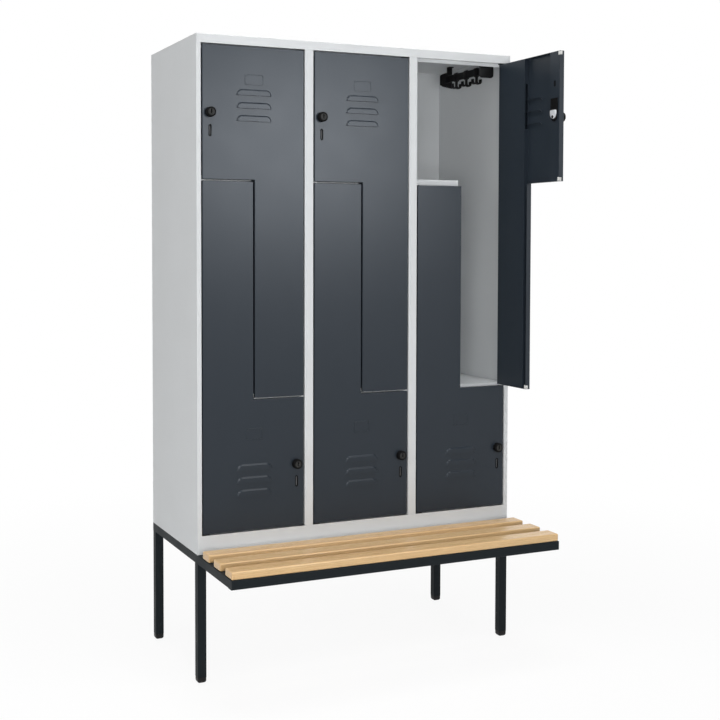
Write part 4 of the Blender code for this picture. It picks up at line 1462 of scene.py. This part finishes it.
@dataclass
class CoatRails:
    """Six rails under their ceilings, each with three sliding hooks.

    bar is the rail's section, and tip the top and bottom of the tail's end below the ceiling.
    """

    shop: Workshop
    start: float = 0.045
    length: float = 0.279
    plate_width: float = 0.060
    plate_height: float = 0.076
    plate: float = 0.004
    plate_edge: float = 0.0008
    corner: float = 0.012
    foot: float = 0.018
    foot_depth: float = 0.003
    foot_inset: float = 0.001
    foot_edge: float = 0.0006
    joint: float = 0.0005
    tail: float = 0.0525
    tail_top: float = 0.021
    tail_bottom: float = 0.082
    tip: Span = (0.034, 0.070)
    taper: float = 0.012
    neck: float = 0.022
    bar: Point = (0.010, 0.027)
    drop: float = 0.0475
    bar_corner: float = 0.0042
    hooks: int = 3
    first: float = 0.112
    pitch: float = 0.070
    hook_width: float = 0.016
    hook_depth: float = 0.003
    hook_edge: float = 0.0009
    hole_width: float = 0.04
    clearance: float = 0.001
    stem: float = 0.0155
    stem_edge: float = 0.0008
    curl: float = 0.0084
    curl_depth: float = 0.0046
    curl_arm: float = 0.0085
    curl_corner: float = 0.0014
    upper_inset: float = 0.072
    web_offset: float = 0.0035
    shelf_rise: float = 0.0165

    def rail(self) -> Mesh:
        """Returns the bar between its end plates, of which the rear one hangs from a neck."""
        half, top, low = self.plate_width / 2, -BODY.seat, -self.plate_height
        outline = [(half, top), (-half, top)]
        outline += arc((-half + self.corner, low + self.corner), self.corner, 180.0, 270.0, 8)
        outline += arc((half - self.corner, low + self.corner), self.corner, 270.0, 360.0, 8)
        right = self.tail - half
        left = right - self.neck
        tail = (
            (right, top), (right, -self.tail_bottom),
            (self.taper - half, self.taper / 2 - self.tail_bottom), (-half, -self.tip[1]),
            (-half, -self.tip[0]), (self.taper - half, -self.tail_top - self.taper / 2),
            (left, -self.tail_top), (left, top),
        )
        inside, inset = self.plate - self.joint, self.foot_inset
        parts = [
            Solids().soft_prism(shape, Along.Y, span, self.plate_edge)
            for shape, span in ((outline, (0.0, self.plate)), (tail, (self.length - self.plate, self.length)))
        ]
        for x, y in (
            ((inset - half, half - inset), (inside, self.foot)),
            ((left + inset, right - inset), (self.length - self.foot, self.length - inside)),
        ):
            parts.append(Solids().soft_box(x, y, (top - self.foot_depth, top), self.foot_edge, 2))
        section = rounded(about(0.0, self.bar[0]), about(-self.drop, self.bar[1]), self.bar_corner, 6)
        bar = Solids().prism(section, Along.Y, (inside, self.length - inside))
        return bar.smooth("coat_rail", Crease.SHEET, *((Carve.JOIN, part) for part in parts))

    def hook(self) -> Mesh:
        """Returns a band round the bar with a stem and two curls below it."""
        wide = about(0.0, self.hook_width)
        width, height = (size + 2 * self.clearance for size in self.bar)
        corner, grow = self.bar_corner + self.clearance, self.hook_depth
        hole = Solids().prism(
            rounded(about(0.0, width), about(0.0, height), corner, 6), Along.Y, about(0.0, self.hole_width)
        )
        outer = rounded(about(0.0, width + 2 * grow), about(0.0, height + 2 * grow), corner + grow, 6)
        band = Solids().soft_prism(outer, Along.Y, wide, self.hook_edge)
        bottom = -height / 2 - grow
        middle = bottom - self.stem
        section = rounded(wide, about(0.0, self.curl_depth), self.curl_corner, 3)
        stem_z = (middle - self.hook_depth / 2, bottom + self.hook_depth / 2)
        parts = [Solids().soft_box(about(0.0, self.hook_depth), wide, stem_z, self.stem_edge, 2)]
        for side in (-1, 1):
            start = 180.0 if side > 0 else 0.0
            path = arc((side * self.curl, middle), self.curl, start, start + side * 180.0, 24)
            path.append((path[-1][0], middle + self.curl_arm))
            points = [Vector((x, 0.0, z)) for x, z in path]
            parts.append(Solids().swept(points, section, Vector((0.0, 1.0, 0.0))))
        steps = [(Carve.JOIN, part) for part in parts]
        return band.smooth("coat_hook", Crease.SMALL, *steps, (Carve.CUT, hole))

    def build(self) -> None:
        """Builds and places every rail and hook."""
        rail, hook = self.rail(), self.hook()
        step_top = BODY.opening[1] - BODY.door_gap - BODY.door_wide + self.shelf_rise
        narrow_middle = (BODY.pitch / 2 - self.web_offset) / 2
        for level, x, ceiling in (
            ("upper", BODY.pitch - self.upper_inset, BODY.height - BODY.sheet),
            ("lower", narrow_middle, step_top - BODY.sheet),
        ):
            for column in range(BODY.columns):
                tag = f"{level}_{column + 1}"
                at = Vector((column * BODY.pitch + x, self.start, ceiling))
                self.shop.place(f"rail_{tag}", rail, BLACK_MOULDING, "locker", at, 0.0, (f"coat_rail_{tag}",))
                for number in range(self.hooks):
                    along = self.first - self.start + number * self.pitch
                    spot = at + Vector((0.0, along, BODY.seat - self.clearance - self.drop))
                    name = f"hook_{tag}_{number + 1}"
                    node = f"coat_{name}"
                    self.shop.place(f"slider_{name}", hook, BLACK_MOULDING, name, spot, 0.0, (node,))


# Bench


@dataclass
class BenchFrame:
    """The welded square-tube frame, its foot caps and its weld beads.

    ripples are the height and pace of each ripple of a bead, and bead_end is how thick a bead
    ends and how soon it swells.
    """

    shop: Workshop
    corner: float = 0.0022
    foot_height: float = 0.020
    foot_round: float = 0.009
    foot_steps: int = 8
    foot_edge: float = 0.0008
    foot_corner: float = 0.0035
    sole_corners: Span = (0.0015, 0.0045)
    sole_shrink: float = 0.3
    plug_gap: float = 0.0023
    plug: Span = (0.0195, 0.040)
    plug_corner: float = 0.002
    groove: Span = (0.0158, 0.0166)
    groove_depth: float = 0.0006
    groove_over: float = 0.001
    bead: float = 0.0016
    bead_step: float = 0.0011
    bead_least: int = 6
    bead_sides: int = 8
    bead_end: Point = (0.35, 6.0)
    ripples: tuple[Point, ...] = ((0.00035, 2.1), (0.0002, 0.7))
    bead_slant: Triple = (0.3, 0.5, 0.8)
    weld_inset: float = 0.004
    weld_sunk: float = 0.0006

    def tube(self, x: Span, y: Span, z: Span) -> Solids:
        """Makes one square tube with rounded long edges.

        Args:
            x: Its ends or sides along X.
            y: Its ends or sides along Y.
            z: Its ends or sides along Z.

        Returns:
            The tube as a closed solid.
        """
        spans = {Along.X: x, Along.Y: y, Along.Z: z}
        along = max(spans, key=lambda axis: spans[axis][1] - spans[axis][0])
        first, second = (spans[axis] for axis in Along if axis is not along)
        return Solids().prism(rounded(first, second, self.corner, 4), along, spans[along])

    def legs(self) -> list[tuple[str, float, float]]:
        """Returns each leg's name and the middle of its tube."""
        half = BODY.tube / 2
        return [
            (f"{end}_{side}", x, y)
            for side, x in (("left", half), ("right", BODY.width - half))
            for end, y in (("front", half), ("rear", BODY.depth - half))
        ]

    def frame(self) -> Mesh:
        """Returns the whole frame."""
        t, w, d, r = BODY.tube, BODY.width, BODY.depth, BODY.bench_reach
        level, half = (-t, 0.0), t / 2
        inner = (t - self.corner, w - t + self.corner)
        side, *others = (self.tube(x, (half - r, d - half), level) for x in ((0.0, t), (w - t, w)))
        for x, y in (((0.0, w), (-r, t - r)), (inner, (0.0, t)), ((0.0, w), (d - t, d))):
            others.append(self.tube(x, y, level))
        low = -BODY.bench_height + self.foot_height + BODY.seat
        for _, x, y in self.legs():
            others.append(self.tube(about(x, t), about(y, t), (low, -half)))
        return side.smooth("bench_tubes", Crease.SHEET, *((Carve.JOIN, tube) for tube in others))

    def weld(self, start: Vector, end: Vector, seed: int) -> Solids:
        """Makes a rippled weld bead between two points.

        Args:
            start: Its first end.
            end: Its other end.
            seed: Number that sets its ripples apart.

        Returns:
            The bead as a closed solid.
        """
        way = end - start
        count = max(int(way.length / self.bead_step), self.bead_least)
        side = way.cross(Vector(self.bead_slant)).normalized()
        up = way.normalized().cross(side)
        rings = []
        for i in range(count + 1):
            t = i / count
            swell = self.bead + sum(size * math.sin(i * pace + seed) for size, pace in self.ripples)
            swell *= min(1.0, self.bead_end[0] + self.bead_end[1] * min(t, 1.0 - t))
            centre = start.lerp(end, t)
            rings.append([
                tuple(centre + side * a + up * b) for a, b in circle(swell, self.bead_sides)
            ])
        return Solids().loft(rings)

    def welds(self) -> Mesh:
        """Returns the beads where the tubes meet."""
        t, w, d, r = BODY.tube, BODY.width, BODY.depth, BODY.bench_reach
        inset, sunk, side = self.weld_inset, self.weld_sunk, BODY.tube / 2
        lines = [
            ((edge, y, inset - t), (edge, y, -inset))
            for edge in (t + sunk, w - t - sunk) for y in (t - r, 0.0, t, d - t)
        ]
        lines += [
            ((x - side + inset, y + way, -t - sunk), (x + side - inset, y + way, -t - sunk))
            for _, x, y in self.legs() for way in (side, -side)
        ]
        beads = [self.weld(Vector(start), Vector(end), seed) for seed, (start, end) in enumerate(lines)]
        return Solids().take(*beads).smooth("weld_beads", Crease.RIPPLED)

    def cap(self) -> Mesh:
        """Returns a foot cap with its rounded sole, its rim and its plug."""
        half = BODY.tube / 2
        least, most = self.sole_corners
        rings = [
            (height, inset, max(most - inset * self.sole_shrink, least))
            for height, inset in quarter_round(self.foot_round, self.foot_steps)[::-1]
        ]
        rings.append((self.foot_height - self.foot_edge, 0.0, self.foot_corner))
        rings.append((self.foot_height, self.foot_edge, self.foot_corner))
        layers = []
        for height, inset, corner in rings:
            span = (-half + inset, half - inset)
            layers.append((height, rounded(span, span, corner, 4)))
        base = Solids().stack(Along.Z, layers)
        grip = about(0.0, BODY.tube - 2 * self.plug_gap)
        plug = Solids().prism(rounded(grip, grip, self.plug_corner, 4), Along.Z, self.plug)
        cut = Solids()
        width = about(0.0, BODY.tube + 2 * self.groove_over)
        for turn in range(4):
            ring = Solids().box(width, (width[0], self.groove_depth - half), self.groove)
            cut.take(ring.moved(Matrix.Rotation(math.pi / 2 * turn, 4, "Z")))
        return base.smooth("foot", Crease.DRILLED, (Carve.JOIN, plug), (Carve.CUT, cut))

    def build(self) -> None:
        """Builds and places the frame, its beads and its feet."""
        faired(self.shop.place("bench_tubes", self.frame(), FRAME_COAT, "locker", replaces=("bench_frame",)))
        self.shop.place("weld_beads", self.welds(), FRAME_COAT, "locker")
        cap = self.cap()
        for name, x, y in self.legs():
            spot = (x, y, -BODY.bench_height)
            self.shop.place(f"foot_{name}", cap, BLACK_MOULDING, "locker", spot, 0.0, (f"foot_cap_{name}",))


@dataclass
class SlatSeat:
    """Three beech slats and the screws that hold them from below.

    Depths of a screw's head and of its recess are measured from the tubes' underside.
    """

    shop: Workshop
    width: float = 0.060
    thickness: float = 0.025
    inset: float = 0.0015
    rounding: float = 0.0042
    head: float = 0.0045
    head_depth: Span = (-0.0026, -0.0001)
    head_edge: float = 0.0011
    recess: float = 0.0019
    recess_depth: Span = (-0.004, -0.0012)
    finishes: tuple[Beech, ...] = (
        Beech("beech_rear", Slot.BEECH, (0.03, 0.055), 0.0, 1.0),
        Beech("beech_middle", Slot.BEECH, (-0.05, 0.075), 3.7, 0.99),
        Beech("beech_front", Slot.BEECH, (0.012, 0.040), 7.9, 1.02),
    )

    def rear_edge(self, number: int) -> float:
        """Returns the place of a slat's rear edge."""
        gap = (BODY.bench_reach - self.inset - len(self.finishes) * self.width) / len(self.finishes)
        return -gap - number * (self.width + gap)

    def slat(self) -> Mesh:
        """Returns one slat, measured from its rear edge."""
        x = (self.inset, BODY.width - self.inset)
        z = (BODY.seat, BODY.seat + self.thickness)
        return Solids().soft_box(x, (-self.width, 0.0), z, self.rounding, 6).smooth("slat", Crease.SMALL)

    def screws(self) -> Mesh:
        """Returns the heads of the slat screws under the side tubes."""
        heads, recesses = Solids(), Solids()
        half = BODY.tube / 2
        depth, recess_depth = (
            shifted(span, -BODY.tube) for span in (self.head_depth, self.recess_depth)
        )
        for x in (half, BODY.width - half):
            for number in range(len(self.finishes)):
                spot = (x, self.rear_edge(number) - self.width / 2)
                heads.soft_prism(circle(self.head, 28, spot), Along.Z, depth, self.head_edge, 4)
                recesses.prism(circle(self.recess, 6, spot), Along.Z, recess_depth)
        return heads.smooth("slat_screws", Crease.DRILLED, (Carve.CUT, recesses))

    def build(self) -> None:
        """Builds and places the slats and their screws."""
        for number, finish in enumerate(self.finishes):
            spot = (0.0, self.rear_edge(number), 0.0)
            nodes = (f"bench_slat_{number + 1}",)
            faired(self.shop.place(f"slat_{number + 1}", self.slat(), finish, "locker", spot, 0.0, nodes))
        self.shop.place("slat_screws", self.screws(), ZINC, "locker")


# Body


@dataclass
class Carcass:
    """The folded sheets, which keep the frame's own shapes, and their small trim."""

    shop: Workshop
    sheets: tuple[str, ...] = (
        "side_panel_left", "side_panel_right", "partition_1", "partition_2", "floor_panel",
        "roof_panel", "back_panel", "z_divider_1", "z_divider_2", "z_divider_3",
    )
    pad: Triple = (0.027, 0.0130, 0.0030)
    pad_gap: float = 0.0002
    pad_ahead: float = 0.0015
    pad_bore: float = 0.0034
    pad_edge: float = 0.0006
    bore_over: float = 0.001
    rivet: tuple[Point, ...] = (
        (0.0003, 0.0), (0.0003, 0.0010), (0.0014, 0.0010), (0.0028, 0.0006), (0.0032, 0.0),
    )
    rivet_inset: float = 0.0065
    rivet_end: float = 0.080
    rivet_gap: float = 0.0001
    rivet_count: int = 9

    def coat(self) -> None:
        """Gives the sheets their powder coat."""
        for name in self.sheets:
            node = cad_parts[name]
            node.data.materials.clear()
            node.data.materials.append(LIGHT_COAT.material())
            LOG.info("%s keeps its shape", name)

    def pin_pads(self) -> Mesh:
        """Returns the black bearing pads round the outer hinge pins."""
        pads, bores = Solids(), Solids()
        (low, high), (length, depth, height), gap = BODY.opening, self.pad, self.pad_gap
        y = (BODY.pin_depth - depth / 2 - self.pad_ahead, BODY.pin_depth + depth / 2)
        for column in range(BODY.columns):
            left = column * BODY.pitch
            for plan, edge, way in ((UPPER, high, -1.0), (LOWER, low, 1.0)):
                stile = left + (BODY.pitch - BODY.stile if plan.hinge > 0 else BODY.stile)
                x = between(stile - plan.hinge * gap, stile - plan.hinge * length)
                z = between(edge + way * gap, edge + way * (height + gap))
                pads.soft_box(x, y, z, self.pad_edge, 2)
                bore = circle(self.pad_bore, 24, (left + plan.column_x(), BODY.pin_depth))
                bores.prism(bore, Along.Z, (z[0] - self.bore_over, z[1] + self.bore_over))
        return pads.smooth("pin_pads", Crease.DRILLED, (Carve.CUT, bores))

    def rivets(self) -> Mesh:
        """Returns the blind rivets along the rear flanges."""
        made = Solids()
        for x in (self.rivet_inset, BODY.width - self.rivet_inset):
            for number in range(self.rivet_count):
                rise = number * (BODY.height - 2 * self.rivet_end) / (self.rivet_count - 1)
                spot = Matrix.Translation((x, BODY.depth + self.rivet_gap, self.rivet_end + rise))
                dome = Solids().turned(self.rivet, 20)
                made.take(dome.moved(spot @ Matrix.Rotation(math.pi, 4, "Z")))
        return made.smooth("rear_rivets", Crease.DOMED)

    def build(self) -> None:
        """Coats the sheets and places their trim."""
        self.coat()
        self.shop.place("pin_pads", self.pin_pads(), BLACK_MOULDING, "locker")
        self.shop.place("rear_rivets", self.rivets(), LIGHT_COAT, "locker")


# Studio


@dataclass(frozen=True)
class Softbox:
    """One soft lamp, which may be kept out of reflections or be a card seen only in them."""

    name: str
    spot: Triple
    target: Triple
    size: Point
    radiance: float
    mirrored: bool = True
    lights: bool = True
    tint: Triple = (1.0, 1.0, 1.0)

    def place(self) -> None:
        """Puts the lamp in the scene."""
        light = bpy.data.lights.new(self.name, "AREA")
        light.shape = "RECTANGLE"
        light.color = self.tint
        light.size, light.size_y = self.size
        light.energy = self.radiance * self.size[0] * self.size[1] * math.pi
        lamp = bpy.data.objects.new(self.name, light)
        lamp.location = self.spot
        way = Vector(self.target) - Vector(self.spot)
        lamp.rotation_euler = way.to_track_quat("-Z", "Y").to_euler()
        lamp.visible_glossy = self.mirrored
        lamp.visible_diffuse = self.lights
        bpy.context.scene.collection.objects.link(lamp)


@dataclass
class Studio:
    """Camera, soft lamps, white surround and pale floor."""

    eye: Triple = (-1.8405, -3.6941, 1.4535)
    yaw: float = -23.37
    pitch: float = -2.243
    lens: float = 58.76
    sensor: float = 36.0
    shift: Point = (0.1, -0.1)
    ambient: float = 0.13
    floor_radius: float = 14.0
    floor_depth: float = 0.02
    floor_tone: float = 0.90
    floor_fibre: float = 0.985
    fibre_scale: float = 260.0
    floor_glow: float = 0.92
    fade: Span = (1.3, 3.2)
    lamps: tuple[Softbox, ...] = (
        Softbox(
            "front_card", (1.45, -4.10, 2.20), (0.0, 0.0, 1.60), (1.60, 1.10), 12.9, lights=False,
            tint=(0.95, 1.0, 1.06),
        ),
        Softbox(
            "front_softbox", (-1.90, -4.60, 1.20), (0.3, 0.0, 1.10), (3.20, 1.50), 7.2, False,
            tint=(0.99, 1.0, 1.015),
        ),
        Softbox("high_front_softbox", (-0.30, -4.20, 4.40), (0.0, -0.1, 0.90), (2.40, 1.60), 2.0, False),
        Softbox("left_softbox", (-4.80, -1.20, 2.40), (0.0, 0.0, 1.30), (2.20, 2.20), 3.1),
        Softbox("top_softbox", (-0.20, -0.60, 5.40), (0.0, -0.3, 0.60), (3.00, 1.70), 11.3, False),
        Softbox("high_card", (1.35, -1.95, 5.00), (-0.20, -0.25, 0.65), (1.80, 1.90), 3.0, lights=False),
        Softbox("left_card", (-3.00, -2.30, 4.20), (-0.40, -0.25, 0.65), (1.50, 1.50), 7.0, lights=False),
        Softbox("rear_softbox", (0.80, 4.60, 2.40), (0.0, 0.5, 1.10), (3.00, 2.00), 2.4),
    )

    def camera(self) -> None:
        """Makes the camera at the photograph's viewing angle."""
        data = bpy.data.cameras.new("camera")
        data.lens = self.lens
        data.sensor_width = self.sensor
        data.shift_x, data.shift_y = self.shift
        camera = bpy.data.objects.new("camera", data)
        camera.location = self.eye
        camera.rotation_euler = (math.radians(90.0 + self.pitch), 0.0, math.radians(self.yaw))
        bpy.context.scene.collection.objects.link(camera)
        bpy.context.scene.camera = camera

    def seen(self, g: Graph) -> Socket:
        """Tells camera, mirror and glass rays, which show the surround, from others.

        Args:
            g: Graph that the nodes go into.

        Returns:
            1 for those rays and 0 for others.
        """
        path = g.node("ShaderNodeLightPath")
        total = path.outputs["Is Camera Ray"]
        for name in ("Is Glossy Ray", "Is Transmission Ray"):
            total = g.combine("ADD", total, path.outputs[name])
        return total

    def surround(self) -> None:
        """Makes the world: white where it is seen, plain soft light elsewhere."""
        world = bpy.data.worlds.new("surround")
        bpy.context.scene.world = world
        world.use_nodes = True
        g = Graph(world.node_tree)
        plain, white = g.tree.nodes["Background"], g.node("ShaderNodeBackground")
        for shader, strength in ((plain, self.ambient), (white, 1.0)):
            shader.inputs["Color"].default_value = (1.0, 1.0, 1.0, 1.0)
            shader.inputs["Strength"].default_value = strength
        g.mix(self.seen(g), (plain, white), g.tree.nodes["World Output"])

    def floor(self) -> None:
        """Makes the pale floor, which keeps the object's shadow and fades out to white."""
        mesh = Solids().prism(circle(self.floor_radius, 64), Along.Z, (-self.floor_depth, 0.0)).flat("floor")
        floor = bpy.data.objects.new("floor", mesh)
        bpy.context.scene.collection.objects.link(floor)
        g = Surface("floor_paper")
        tone = (self.floor_tone,) * 3
        diffuse, glow = g.node("ShaderNodeBsdfDiffuse"), g.node("ShaderNodeEmission")
        fibre = g.ranged(g.noise(g.place(), self.fibre_scale))
        g.link(g.blend(fibre, scaled(tone, self.floor_fibre), tone), diffuse.inputs["Color"])
        distance = g.node("ShaderNodeVectorMath", operation="LENGTH")
        g.link(g.place(), distance.inputs[0])
        share = g.ranged(distance.outputs["Value"], self.fade, (self.floor_glow, 1.0))
        g.mix(g.combine("MULTIPLY", share, self.seen(g)), (diffuse, glow), g.output)
        g.tree.nodes.remove(g.shader)
        mesh.materials.append(g.material)

    def build(self) -> None:
        """Sets up the whole studio."""
        bpy.context.scene.view_settings.view_transform = "Standard"
        self.camera()
        self.surround()
        self.floor()
        for lamp in self.lamps:
            lamp.place()


def main() -> None:
    """Builds the studio and every sub-assembly in order."""
    logging.basicConfig(level=logging.INFO, format="%(message)s")
    Studio().build()
    shop = Workshop()
    for part in (Carcass(shop), Doors(shop), CoatRails(shop), BenchFrame(shop), SlatSeat(shop)):
        part.build()
        LOG.info("%s done", type(part).__name__)
    LOG.info("%d pieces made", len(shop.made))


if __name__ == "__main__":
    main()
